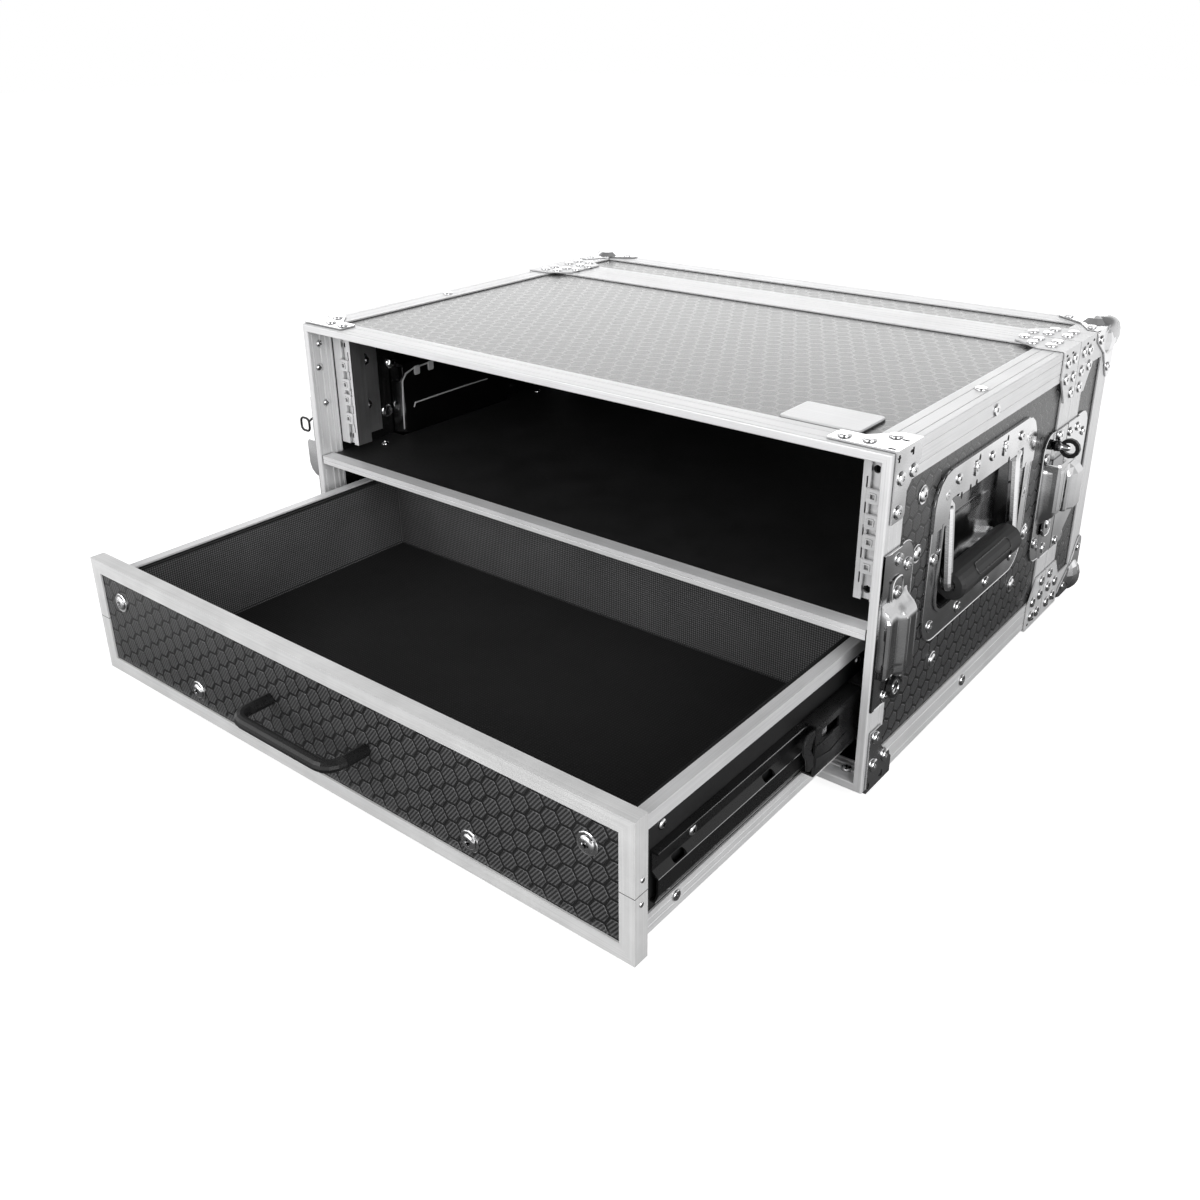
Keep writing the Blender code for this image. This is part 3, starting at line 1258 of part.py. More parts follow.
def make_slides():
    """Three channels a side: one on the case, a sliding one, and one on the drawer."""
    skin = SLIDE_SKIN
    clear = SLIDE_CLEAR
    inner_web = DRAWER_SKIN_IN
    outer_web = inner_web + SLIDE_WIDTH
    outer_half = SLIDE_OUTER_HEIGHT / 2
    middle_half = outer_half - skin - clear
    inner_half = middle_half - skin - clear
    middle_web = outer_web - skin - clear
    lip_outer = DRAWER_SKIN_OUT + SLIDE_LIP
    lip_middle = lip_outer + clear

    def rail(name, section, start, length):
        outline = [(x, SLIDE_CENTRE + z) for x, z in section]
        return prism(name, "XZ", outline, start, start + length)

    fixed = rail("slide_fixed_right", channel(outer_web, lip_outer, outer_half, skin), SLIDE_FRONT, SLIDE_LENGTH)
    spacer_out = INSIDE_HALF - FIT
    spacer = block(
        "spacer",
        (outer_web - skin / 2, SLIDE_FRONT + EDGE_LEG / 2, SLIDE_CENTRE - SLIDE_SPACER_HEIGHT / 2),
        (spacer_out, SLIDE_FRONT + SLIDE_LENGTH, SLIDE_CENTRE + SLIDE_SPACER_HEIGHT / 2),
    )
    add(fixed, spacer)
    finish(fixed, "black_steel")
    finish(twin(fixed, "slide_fixed_left"), "black_steel")

    middle_start = SLIDE_FRONT - DRAWER_PULL * SLIDE_MIDDLE_SHARE
    section = channel(middle_web, lip_middle, middle_half, skin)
    middle = rail("slide_middle_right", section, middle_start, SLIDE_LENGTH - EDGE_LEG)
    length, height = SLIDE_WINDOW
    back, rise = SLIDE_WINDOW_BACK
    window = block(
        "window",
        (middle_web - 2 * skin, middle_start + back, SLIDE_CENTRE + rise - height / 2),
        (middle_web + skin, middle_start + back + length, SLIDE_CENTRE + rise + height / 2),
    )
    cut(middle, window)
    finish(middle, "black_steel", SLIDE_AXIS)
    finish_moved(twin(middle, "slide_middle_left"), "black_steel", SLIDE_AXIS)

    drawer_start = SLIDE_FRONT - DRAWER_PULL + SLIDE_SET_BACK
    drawer = rail("slide_drawer_right", beaded_channel(inner_web, inner_half, skin), drawer_start,
                  DRAWER_LENGTH - 2 * EDGE_LEG)
    length, height, rise = SLIDE_HOLE
    for back in SLIDE_HOLES_BACK:
        place = drawer_start + back
        cut(drawer, oval_hole(place, SLIDE_CENTRE + rise, length, height, inner_web - skin, middle_web))
    finish(drawer, "black_steel", DRAWER_AXIS)
    finish_moved(twin(drawer, "slide_drawer_left"), "black_steel", DRAWER_AXIS)


# Rear lid

def lid_front_profile():
    """Section of the lid's front frame: a grooved lip for the body's tongue, and a board channel."""
    seam = SEAM_LID
    groove_low = TONGUE_START - GROOVE_FIT
    groove_high = TONGUE_START + TONGUE + GROOVE_FIT
    groove_end = BODY_DEPTH + TONGUE_LENGTH + 2 * GROOVE_FIT
    inner = BOARD_IN + FIT
    web = groove_end + EDGE_SKIN
    end = seam + EDGE_LEG
    points = [(0, seam), (groove_low, seam), (groove_low, groove_end), (groove_high, groove_end)]
    points += [(groove_high, seam), (WALL, seam), (WALL, seam + REAR_INNER_LEG), (inner, seam + REAR_INNER_LEG)]
    points += [(inner, web), (EDGE_SKIN, web), (EDGE_SKIN, end), (0, end)]
    points += reversed(grooved_leg(seam, end, GROOVE_PLACES))
    return points


def make_lid():
    frame = mitred_frame("lid_front_frame", lid_front_profile(), HALF_WIDTH, 0, BODY_HEIGHT)
    add(frame, *rear_brackets(SEAM_LID, SEAM_LID + LID_BRACKET_REACH))
    add(frame, *rivet_bosses(SEAM_LID + EDGE_LEG / 2))
    finish(frame, "aluminium", LID_AXIS)

    start = BODY_DEPTH + TONGUE_LENGTH + 2 * GROOVE_FIT + EDGE_SKIN + FIT
    out = HALF_WIDTH - BOARD_OUT
    inner = INSIDE_HALF
    back = LID_BACK - BOARD_OUT
    shell = block("lid_shell", (-out, start, BOARD_OUT), (out, back, BODY_HEIGHT - BOARD_OUT))
    cut(shell, block("room", (-inner, start - BOARD, BOARD_IN), (inner, back - BOARD, BODY_HEIGHT - BOARD_IN)))
    finish(shell, "laminate", LID_AXIS)

    profile = [(0, LID_BACK - EDGE_LEG)]
    profile += reversed(grooved_leg(LID_BACK, LID_BACK - EDGE_LEG, GROOVE_PLACES))
    profile += [(0, LID_BACK - EDGE_ROUND), (EDGE_ROUND * 0.3, LID_BACK - EDGE_ROUND * 0.3), (EDGE_ROUND, LID_BACK)]
    for depth, along in grooved_leg(0, EDGE_LEG, GROOVE_PLACES):
        profile.append((along, LID_BACK - depth))
    profile += [(EDGE_LEG, LID_BACK), (EDGE_LEG, LID_BACK - EDGE_SKIN), (EDGE_SKIN, LID_BACK - EDGE_SKIN)]
    profile += [(EDGE_SKIN, LID_BACK - EDGE_LEG)]
    edges = mitred_frame("lid_edge_frame", profile, HALF_WIDTH, 0, BODY_HEIGHT)
    for side in (-1, 1):
        for level in (-1, 1):
            outline = at_edge(plain_section(), side, level, 0, BODY_HEIGHT)
            strip = prism("strip", "XZ", outline, SEAM_LID + EDGE_LEG + FIT, LID_BACK - EDGE_SKIN / 2)
            add(edges, strip)
    finish(edges, "aluminium", LID_AXIS)
    make_ball_corners()


def leaf_outline(reach, waist, tip):
    """A plate of a ball corner, as distances from the two edges that meet at the corner."""
    edge = -(FIT + PLATE)
    points = [(edge, edge), (reach - tip, edge)]
    points += arc((reach - tip, tip + edge), tip, -90, 45, 3)
    points += [(waist, waist)]
    points += arc((tip + edge, reach - tip), tip, 45, 180, 3)
    return points


def make_ball_corners():
    """A ball over each rear corner, with a leaf-shaped plate on each of the three faces."""
    centre_inset = BALL_RADIUS - BALL_PROUD
    leaf = leaf_outline(BALL_PLATE_REACH, BALL_PLATE_WAIST, BALL_PLATE_TIP)
    seat = -FIT
    face = -(FIT + PLATE)
    for level, level_name in ((1, "top"), (-1, "bottom")):
        def place(a, b, c):
            """Inward distances from the side, the back and the top or bottom, as a point."""
            z = BODY_HEIGHT - c if level > 0 else c
            return (HALF_WIDTH - a, LID_BACK - b, z)

        ball = turned("ball_corner_" + level_name + "_right", ball_profile(BALL_RADIUS, 8),
                      place(centre_inset, centre_inset, centre_inset), (0, 0, 1), 16)
        plates = (
            loft("leaf_side", [[place(seat, u, v) for u, v in leaf], [place(face, u, v) for u, v in leaf]]),
            loft("leaf_top", [[place(u, v, seat) for u, v in leaf], [place(u, v, face) for u, v in leaf]]),
            loft("leaf_back", [[place(u, seat, v) for u, v in leaf], [place(u, face, v) for u, v in leaf]]),
        )
        add(ball, *plates)
        far = 3 * BALL_RADIUS
        corner_a = place(seat, seat, seat)
        corner_b = place(far, far, far)
        low = tuple(min(p, q) for p, q in zip(corner_a, corner_b))
        high = tuple(max(p, q) for p, q in zip(corner_a, corner_b))
        cut(ball, block("case_corner", low, high))
        finish(ball, "chrome", LID_AXIS)
        finish_moved(twin(ball, "ball_corner_" + level_name + "_left"), "chrome", LID_AXIS)


# Feet

def make_feet():
    top = BOARD_OUT - FIT
    profile = [(-FOOT_HEIGHT, 0), (-FOOT_HEIGHT, FOOT_RADIUS - FOOT_TAPER - MM)]
    profile += [(-FOOT_HEIGHT + MM, FOOT_RADIUS - FOOT_TAPER), (top, FOOT_RADIUS), (top, 0)]
    for end, end_name in ((FOOT_INSET_Y, "front"), (BODY_DEPTH - FOOT_INSET_Y, "rear")):
        centre = (HALF_WIDTH - FOOT_INSET_X, end, 0)
        foot = turned("foot_" + end_name + "_right", profile, centre, (0, 0, 1))
        finish(foot, "rubber")
        finish(twin(foot, "foot_" + end_name + "_left"), "rubber")


def stand_on_origin():
    """Shifts the whole case so that the middle of its footprint is the world's origin."""
    bpy.context.view_layer.update()
    low = Vector((math.inf,) * 3)
    high = Vector((-math.inf,) * 3)
    for thing in NODES:
        for vertex in thing.data.vertices:
            point = thing.matrix_world @ vertex.co
            low = Vector(map(min, low, point))
            high = Vector(map(max, high, point))
    CASE.location = (-(low.x + high.x) / 2, -(low.y + high.y) / 2, -low.z)
    bpy.context.view_layer.update()
    size = high - low
    print("size mm:", [round(value / MM, 2) for value in size])
    print("shift mm:", [round(value / MM, 2) for value in CASE.location])
    print("nodes:", len(NODES), "triangles:", sum(len(p.vertices) - 2 for t in NODES for p in t.data.polygons))


DRAWER_AXIS = axis_empty("drawer_slide_axis", (0, DRAWER_FRONT, SLIDE_CENTRE))
SLIDE_AXIS = axis_empty("slide_middle_axis", (0, SLIDE_FRONT, SLIDE_CENTRE))
LID_AXIS = axis_empty("lid_seam_axis", (0, SEAM_LID, BODY_HEIGHT / 2))

make_boards()
make_frames()
make_edge_trims()
make_front_brackets()
make_shelf()
make_rails()
make_dish()
make_bail()
make_latches()
make_keepers()
make_drawer_front()
make_drawer_tray()
make_slides()
make_lid()
make_feet()
stand_on_origin()
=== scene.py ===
"""Looks of the rack case: finishes, fasteners, foam lining and studio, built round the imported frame."""

import math

import bmesh
import bpy
from mathutils import Euler, Matrix, Vector


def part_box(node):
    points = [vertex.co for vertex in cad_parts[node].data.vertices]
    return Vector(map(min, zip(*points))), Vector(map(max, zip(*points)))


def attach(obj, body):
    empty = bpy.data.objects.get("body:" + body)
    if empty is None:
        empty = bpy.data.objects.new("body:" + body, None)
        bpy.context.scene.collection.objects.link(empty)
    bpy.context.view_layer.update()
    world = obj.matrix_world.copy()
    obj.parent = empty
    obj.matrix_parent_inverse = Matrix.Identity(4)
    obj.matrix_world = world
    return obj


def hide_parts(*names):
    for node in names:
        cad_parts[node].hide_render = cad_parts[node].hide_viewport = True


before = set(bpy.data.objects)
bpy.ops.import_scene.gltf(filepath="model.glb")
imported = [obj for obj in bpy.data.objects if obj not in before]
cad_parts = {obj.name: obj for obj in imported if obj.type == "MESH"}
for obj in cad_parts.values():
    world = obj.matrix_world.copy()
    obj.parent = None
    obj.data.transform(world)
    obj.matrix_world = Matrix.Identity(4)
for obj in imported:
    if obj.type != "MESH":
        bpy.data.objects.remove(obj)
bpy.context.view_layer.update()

MM = 0.001

# The case's own frame: X across, Y from the front opening, Z from the underside of the body.
FRONT_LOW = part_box("front_frame")[0]
ORIGIN = Vector((0, FRONT_LOW.y, FRONT_LOW.z))
LID_GAP = 0.3
HALF_WIDTH = -FRONT_LOW.x / MM
HEIGHT = (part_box("front_frame")[1].z - FRONT_LOW.z) / MM
BODY_DEPTH = (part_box("lid_front_frame")[0].y - FRONT_LOW.y) / MM - LID_GAP
LID_BACK = (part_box("lid_edge_frame")[1].y - FRONT_LOW.y) / MM
SECTION_LEG = 22
PLATE_FACE = 1.5
BOARD_DROP = 1.5


def at(x, y, z):
    """A point of the case's frame, in millimetres, as a world point in metres."""
    return ORIGIN + Vector((x, y, z)) * MM


# Node helpers

class Nodes:
    """Adds shader nodes to a material or to the world and links them."""

    def __init__(self, owner, shader="Principled BSDF"):
        owner.use_nodes = True
        self.owner = owner
        self.tree = owner.node_tree
        self.shader = self.tree.nodes[shader]

    def add(self, kind, **settings):
        node = self.tree.nodes.new(kind)
        for key, value in settings.items():
            setattr(node, key, value)
        return node

    def put(self, socket, value):
        if isinstance(value, bpy.types.NodeSocket):
            self.tree.links.new(value, socket)
        elif value is not None:
            socket.default_value = value

    def fill(self, node, *values):
        """Gives a node's first inputs their values, and returns its first output."""
        for socket, value in zip(node.inputs, values):
            self.put(socket, value)
        return node.outputs[0]

    def math(self, operation, *values):
        return self.fill(self.add("ShaderNodeMath", operation=operation), *values)

    def plus(self, first, second):
        return self.math("ADD", first, second)

    def minus(self, first, second):
        return self.math("SUBTRACT", first, second)

    def times(self, first, *others):
        for other in others:
            first = self.math("MULTIPLY", first, other)
        return first

    def times_plus(self, value, factor, start):
        return self.math("MULTIPLY_ADD", value, factor, start)

    def wave(self, angle):
        """A sine wave from 0 to 1."""
        return self.times_plus(self.math("SINE", angle), 0.5, 0.5)

    def vector(self, operation, first, second=None):
        node = self.add("ShaderNodeVectorMath", operation=operation)
        result = self.fill(node, first, second)
        return node.outputs["Value"] if operation in ("LENGTH", "DOT_PRODUCT") else result

    def combine(self, x=0.0, y=0.0, z=0.0):
        return self.fill(self.add("ShaderNodeCombineXYZ"), x, y, z)

    def separate(self, vector):
        node = self.add("ShaderNodeSeparateXYZ")
        self.fill(node, vector)
        return node.outputs

    def place(self):
        return self.add("ShaderNodeTexCoord").outputs["Object"]

    def normal(self):
        return self.add("ShaderNodeTexCoord").outputs["Normal"]

    def noise(self, vector, scale, detail=3.0, roughness=0.55):
        node = self.add("ShaderNodeTexNoise")
        values = {"Vector": vector, "Scale": scale, "Detail": detail, "Roughness": roughness}
        for key, value in values.items():
            self.put(node.inputs[key], value)
        return node.outputs["Fac"]

    def spread(self, value, low, high, to_low, to_high, kind="LINEAR"):
        node = self.add("ShaderNodeMapRange", interpolation_type=kind)
        return self.fill(node, value, low, high, to_low, to_high)

    def vary(self, noise, low, high):
        """Spreads the middle of a noise, from 0.3 to 0.7, over a range."""
        return self.spread(noise, 0.3, 0.7, low, high)

    def choose(self, factor, first, second):
        node = self.add("ShaderNodeMix", data_type="VECTOR")
        for key, value in (("Factor", factor), (4, first), (5, second)):
            self.put(node.inputs[key], value)
        return node.outputs[1]

    def painted_crease_shade(self, reach, darkest):
        """Painted shade: 1 on open surfaces, down to the darkest value in creases and beside raised parts,
        where shade falls.
        """
        node = self.add("ShaderNodeAmbientOcclusion", samples=6)
        node.inputs["Distance"].default_value = reach
        return self.spread(node.outputs["AO"], 0.35, 0.85, darkest, 1.0)

    def tinted(self, value, blue):
        """A grey of one value, with its blue share scaled."""
        return self.combine(value, value, self.times(value, blue))

    def bump(self, height, strength, distance):
        node = self.add("ShaderNodeBump")
        for key, value in (("Height", height), ("Strength", strength), ("Distance", distance)):
            self.put(node.inputs[key], value)
        self.put(self.shader.inputs["Normal"], node.outputs[0])

    def finish(self, colour, roughness, metal=None, **constants):
        for key, value in (("Base Color", colour), ("Roughness", roughness), ("Metallic", metal)):
            self.put(self.shader.inputs[key], value)
        for key, value in constants.items():
            self.shader.inputs[key.replace("_", " ")].default_value = value
        return self.owner


def surface(name):
    return Nodes(bpy.data.materials.new(name))


def flat_place(nodes):
    """Coordinates in the plane of a flat face, chosen by the face's normal: (u, v, 0)."""
    x, y, z = nodes.separate(nodes.place())
    nx, _, nz = nodes.separate(nodes.normal())
    faces_up = nodes.math("GREATER_THAN", nodes.math("ABSOLUTE", nz), 0.7)
    faces_side = nodes.math("GREATER_THAN", nodes.math("ABSOLUTE", nx), 0.7)
    upright = nodes.choose(faces_side, nodes.combine(z, x), nodes.combine(y, z))
    return nodes.choose(faces_up, upright, nodes.combine(x, y))


# Finishes

HEX_PITCH = 11.8 * MM
HEX_GROOVE = 0.62 * MM
HEX_SHOULDER = 0.55 * MM
# The side of each hexagon whose rim gets a painted glint
HEX_GLINT_SIDE = (0.8, 0.6, 0.0)
CELL_SEED = (37.0, 37.0, 37.0)
WEAVE_ROWS = 1.9 * MM
WEAVE_STITCH = 1.05 * MM
WEAVE_LEAN = math.radians(38)
PANEL_MIDDLE = (0.0, 0.05, 0.118)

# Noise is drawn out along an axis by a small scale on it.
DRAWN = {"X": (9.0, 1400.0, 1400.0), "Y": (1400.0, 9.0, 1400.0), "Z": (1400.0, 1400.0, 9.0)}
DRAWN_LEVEL = 0.80
DRAWN_FINE = 0.08
DRAWN_METAL = 0.25
TRIM_SEAM = 53.5

# How far painted shade darkens the colour inside a handle dish's recess
RECESS_PAINTED_SHADE = 0.4
DIAMOND_PITCH = 3.4 * MM
RIB_PITCH = 2.1 * MM


def hexagons(nodes, place, pitch):
    """Distance to the nearest hexagon edge, the cell's centre, and how far a place lies to the side whose rim
    gets a painted glint.
    """
    period = (pitch, pitch * math.sqrt(3), 1.0)
    half = tuple(value / 2 for value in period)
    flat = (1.0, 1.0, 0.0)
    raised = nodes.vector("ADD", place, (1000 * period[0], 1000 * period[1], 0.0))
    first, second = (
        nodes.vector("MULTIPLY", nodes.vector("SUBTRACT", nodes.vector("MODULO", spot, period), half), flat)
        for spot in (raised, nodes.vector("SUBTRACT", raised, half))
    )
    nearer = nodes.math("LESS_THAN", nodes.vector("LENGTH", second), nodes.vector("LENGTH", first))
    inside = nodes.choose(nearer, first, second)
    size = nodes.vector("ABSOLUTE", inside)
    slanted = nodes.vector("DOT_PRODUCT", size, (0.5, math.sqrt(3) / 2, 0.0))
    edge = nodes.minus(pitch / 2, nodes.math("MAXIMUM", slanted, nodes.separate(size)[0]))
    centre = nodes.vector("SUBTRACT", nodes.vector("MULTIPLY", raised, flat), inside)
    return edge, centre, nodes.vector("DOT_PRODUCT", inside, HEX_GLINT_SIDE)


def phase(nodes, place, lean, pitch):
    """The angle, at a place, of a wave of one pitch that runs along a leaning line."""
    turn = 2 * math.pi / pitch
    return nodes.vector("DOT_PRODUCT", place, (math.cos(lean) * turn, math.sin(lean) * turn, 0.0))


def laminate_finish():
    """Black laminate pressed into a honeycomb: woven pads with smooth dark grooves between them, and painted
    glints on one side of the pads' rims.
    """
    nodes = surface("laminate")
    place = flat_place(nodes)
    edge, centre, right = hexagons(nodes, place, HEX_PITCH)
    shoulder = (HEX_GROOVE, HEX_GROOVE + HEX_SHOULDER, 0.0, 1.0)
    outward = nodes.vector("SUBTRACT", nodes.place(), PANEL_MIDDLE)
    outer = nodes.math("GREATER_THAN", nodes.vector("DOT_PRODUCT", nodes.normal(), outward), 0.0)
    pad = nodes.times(nodes.spread(edge, *shoulder, "SMOOTHSTEP"), outer)
    ridge = nodes.spread(edge, *shoulder)
    rim = nodes.times(ridge, nodes.minus(1.0, ridge), outer)
    cell = nodes.add("ShaderNodeTexWhiteNoise", noise_dimensions="3D")
    chance = nodes.fill(cell, nodes.vector("MULTIPLY", centre, CELL_SEED))
    rows = nodes.wave(phase(nodes, place, WEAVE_LEAN + math.pi / 2, WEAVE_ROWS))
    stitches = nodes.times_plus(nodes.math("SINE", phase(nodes, place, WEAVE_LEAN, WEAVE_STITCH)), 0.3, 0.7)
    weave = nodes.times(nodes.math("POWER", rows, 1.5), stitches)
    grain = nodes.noise(place, 2600.0)
    share = nodes.times_plus(pad, 0.25, nodes.times_plus(outer, 0.45, 0.3))
    body = nodes.times(nodes.spread(chance, 0.0, 1.0, 0.015, 0.021), nodes.vary(grain, 0.75, 1.25), share)
    # Painted highlight: bright glints along each pad's rim on one side, broken up by noise
    painted_glint = nodes.times(
        nodes.spread(right, 0.15 * HEX_PITCH, 0.45 * HEX_PITCH, 0.06, 1.0),
        nodes.spread(nodes.noise(place, 900.0), 0.40, 0.62, 0.15, 1.0),
    )
    lit = nodes.plus(body, nodes.times(weave, pad, 0.13))
    # The rims take the painted glints
    lit = nodes.plus(lit, nodes.times(rim, painted_glint, 1.1))
    rough = nodes.plus(nodes.vary(grain, 0.26, 0.32), nodes.spread(pad, 0.0, 1.0, -0.08, 0.0))
    nodes.bump(nodes.times_plus(weave, nodes.times(pad, 0.12), pad), 0.25, 0.08 * MM)
    return nodes.finish(nodes.tinted(lit, 1.02), rough, IOR=1.5)


def frame_lines(nodes, place, half, low, high):
    """A place drawn out along each rail of a mitred frame, and whether that rail is an upright one."""
    x, _, z = nodes.separate(place)
    side = nodes.minus(half, nodes.math("ABSOLUTE", x))
    stile = nodes.math("LESS_THAN", side, nodes.math("MINIMUM", nodes.minus(z, low), nodes.minus(high, z)))
    level, upright = (nodes.vector("MULTIPLY", place, DRAWN[axis]) for axis in "XZ")
    return nodes.choose(stile, level, upright), stile


def drawn_metal(name, along=None, rough=0.42, flank=None):
    """Aluminium with fine lines drawn along one axis, or along each rail of the case's frames.

    A flank value is how metallic the faces that don't look to the front are.
    """
    nodes = surface(name)
    place = nodes.place()
    if along is None:
        stretched, _ = frame_lines(nodes, place, HALF_WIDTH * MM, ORIGIN.z, ORIGIN.z + HEIGHT * MM)
    else:
        stretched = nodes.vector("MULTIPLY", place, DRAWN[along])
    lines = nodes.noise(stretched, 1.0, 4.0, 0.65)
    cloud = nodes.noise(place, 28.0)
    shade = nodes.spread(lines, 0.25, 0.75, DRAWN_LEVEL - DRAWN_FINE, DRAWN_LEVEL + DRAWN_FINE)
    # Painted shade in creases and beside raised parts darkens the metal's colour
    value = nodes.times(nodes.plus(shade, nodes.vary(cloud, -0.04, 0.03)), nodes.painted_crease_shade(2.0 * MM, 0.25))
    streaks = nodes.spread(lines, 0.25, 0.75, rough - 0.07, rough + 0.07)
    roughness = nodes.plus(streaks, nodes.vary(cloud, -0.04, 0.04))
    metal = DRAWN_METAL
    if flank is not None:
        frontal = nodes.math("ABSOLUTE", nodes.separate(nodes.normal())[1])
        metal = nodes.spread(frontal, 0.3, 0.6, flank, DRAWN_METAL)
    nodes.bump(lines, 0.18, 0.03 * MM)
    return nodes.finish(nodes.tinted(value, 1.008), roughness, metal)


def drawer_trim_finish(name):
    """The drawer's front trim is a smaller mitred frame with a seam, so its lines follow its own corners."""
    low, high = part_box("drawer_front_trim")
    nodes = surface(name)
    place = nodes.place()
    stretched, stile = frame_lines(nodes, place, high.x, low.z, high.z)
    lines = nodes.noise(stretched, 1.0, 4.0, 0.65)
    seam = nodes.math("ABSOLUTE", nodes.minus(nodes.separate(place)[2], ORIGIN.z + TRIM_SEAM * MM))
    joint = nodes.times(stile, nodes.spread(seam, 0.12 * MM, 0.3 * MM, 1.0, 0.0))
    cloud = nodes.vary(nodes.noise(place, 45.0), -0.06, 0.04)
    streaks = nodes.plus(nodes.spread(lines, 0.25, 0.75, 0.70, 0.86), cloud)
    value = nodes.times(streaks, nodes.minus(1.0, joint))
    nodes.bump(nodes.minus(lines, nodes.times(joint, 6.0)), 0.18, 0.03 * MM)
    rough = nodes.spread(lines, 0.25, 0.75, 0.36, 0.50)
    return nodes.finish(nodes.combine(value, value, value), rough, DRAWN_METAL)


def plated_metal(name, level, rough, wavy, recess=None):
    """Smooth bright plate, slightly wavy, with faint clouds; darker inside a recess of the sides, as painted
    shade.
    """
    nodes = surface(name)
    place = nodes.place()
    cloud = nodes.noise(place, 60.0, 4.0)
    fine = nodes.noise(place, 900.0, 2.0)
    value = nodes.plus(nodes.vary(cloud, -0.035, 0.035), level)
    if recess is not None:
        # Painted shade: the colour darkens inside the recess of the sides
        depth = nodes.math("ABSOLUTE", nodes.separate(place)[0])
        value = nodes.times(value, nodes.spread(depth, recess - 3 * MM, recess, RECESS_PAINTED_SHADE, 1.0))
    # Painted shade in creases and beside raised parts darkens the plate's colour
    value = nodes.times(value, nodes.painted_crease_shade(2.2 * MM, 0.12))
    roughness = nodes.plus(nodes.vary(cloud, rough * 0.7, rough * 1.3), nodes.vary(fine, -0.02, 0.02))
    ripple = nodes.times(nodes.plus(cloud, fine), 0.02)
    nodes.bump(nodes.times_plus(nodes.noise(place, 22.0, 1.0), wavy, ripple), 1.0, 2.0 * MM)
    return nodes.finish(nodes.tinted(value, 1.01), roughness, 1.0)


def dark_finish(name, level, rough, scale, strength):
    """A black finish with a fine grain: paint, rubber or coated steel."""
    nodes = surface(name)
    place = nodes.place()
    grain = nodes.noise(place, scale)
    wide = nodes.noise(place, 35.0)
    value = nodes.times(nodes.vary(grain, level * 0.75, level * 1.25), nodes.vary(wide, 0.85, 1.15))
    roughness = nodes.plus(nodes.vary(grain, rough - 0.05, rough + 0.05), nodes.vary(wide, -0.04, 0.04))
    nodes.bump(grain, strength, 0.1 * MM)
    return nodes.finish(nodes.tinted(value, 1.03), roughness)


def lining_finish():
    """Cut-proof lining: pressed diamonds on the upright walls, fine ribs over the floor."""
    nodes = surface("lining")
    place = nodes.place()
    u, v, _ = nodes.separate(flat_place(nodes))
    turn = 2 * math.pi / DIAMOND_PITCH
    one, two = (nodes.math("SINE", nodes.times(way, turn)) for way in (nodes.plus(u, v), nodes.minus(u, v)))
    diamonds = nodes.times_plus(nodes.times(one, two), 0.5, 0.5)
    ticks, ribs = (nodes.wave(nodes.times(way, 2 * math.pi / RIB_PITCH)) for way in (u, v))
    knots = nodes.times(ribs, ticks)
    level = nodes.math("GREATER_THAN", nodes.separate(nodes.normal())[2], 0.6)
    upright = nodes.minus(1.0, level)
    cells = nodes.noise(place, 1500.0)
    wall = nodes.times_plus(nodes.math("POWER", diamonds, 2.0), 0.19, 0.018)
    bed = nodes.times_plus(knots, 0.016, 0.012)
    value = nodes.plus(nodes.times(bed, level), nodes.times(wall, upright))
    cloud = nodes.vary(nodes.noise(place, 18.0, 2.0), 0.88, 1.12)
    value = nodes.times(value, nodes.vary(cells, 0.8, 1.2), cloud)
    pressed = nodes.plus(nodes.times(knots, level), nodes.times(diamonds, upright))
    nodes.bump(nodes.plus(pressed, nodes.times(cells, 0.15)), 0.5, 0.35 * MM)
    return nodes.finish(nodes.tinted(value, 1.02), nodes.vary(cells, 0.62, 0.82), Specular_IOR_Level=0.35)


# Level, roughness and waviness, and for the handle dishes where their recess starts, inside which painted
# shade darkens them
PLATED = {
    "zinc": (0.72, 0.13, 1.0),
    # The latch plates' zinc, made darker as painted shade standing for the dark reflections in their housings
    "latch": (0.58, 0.11, 1.0),
    "ball": (0.60, 0.20, 0.3),
    "dish": (0.80, 0.13, 1.0, (HALF_WIDTH - BOARD_DROP) * MM),
    "chrome": (0.84, 0.06, 0.3),
    # Bright metal for the wires of painted highlight on the black slides' edges
    "painted_edge_highlight": (0.42, 0.25, 0.2),
}

# Level, roughness, and the grain's scale and strength
DARK = {
    "black_board": (0.014, 0.5, 500.0, 0.15),
    "black_steel": (0.009, 0.30, 1200.0, 0.06),
    "black_plastic": (0.018, 0.30, 900.0, 0.1),
    "rubber": (0.016, 0.6, 1600.0, 0.25),
    "shadow": (0.004, 0.8, 600.0, 0.1),
}

FINISHES = {
    "laminate": laminate_finish(),
    "lining": lining_finish(),
    "aluminium_x": drawn_metal("aluminium_x", "X"),
    "aluminium_y": drawn_metal("aluminium_y", "Y"),
    "aluminium_z": drawn_metal("aluminium_z", "Z"),
    "aluminium_frame": drawn_metal("aluminium_frame"),
    "aluminium_drawer": drawer_trim_finish("aluminium_drawer"),
    "rail": drawn_metal("rail", "Z", 0.35, 0.97),
}
FINISHES |= {name: plated_metal(name, *values) for name, values in PLATED.items()}
FINISHES |= {name: dark_finish(name, *values) for name, values in DARK.items()}

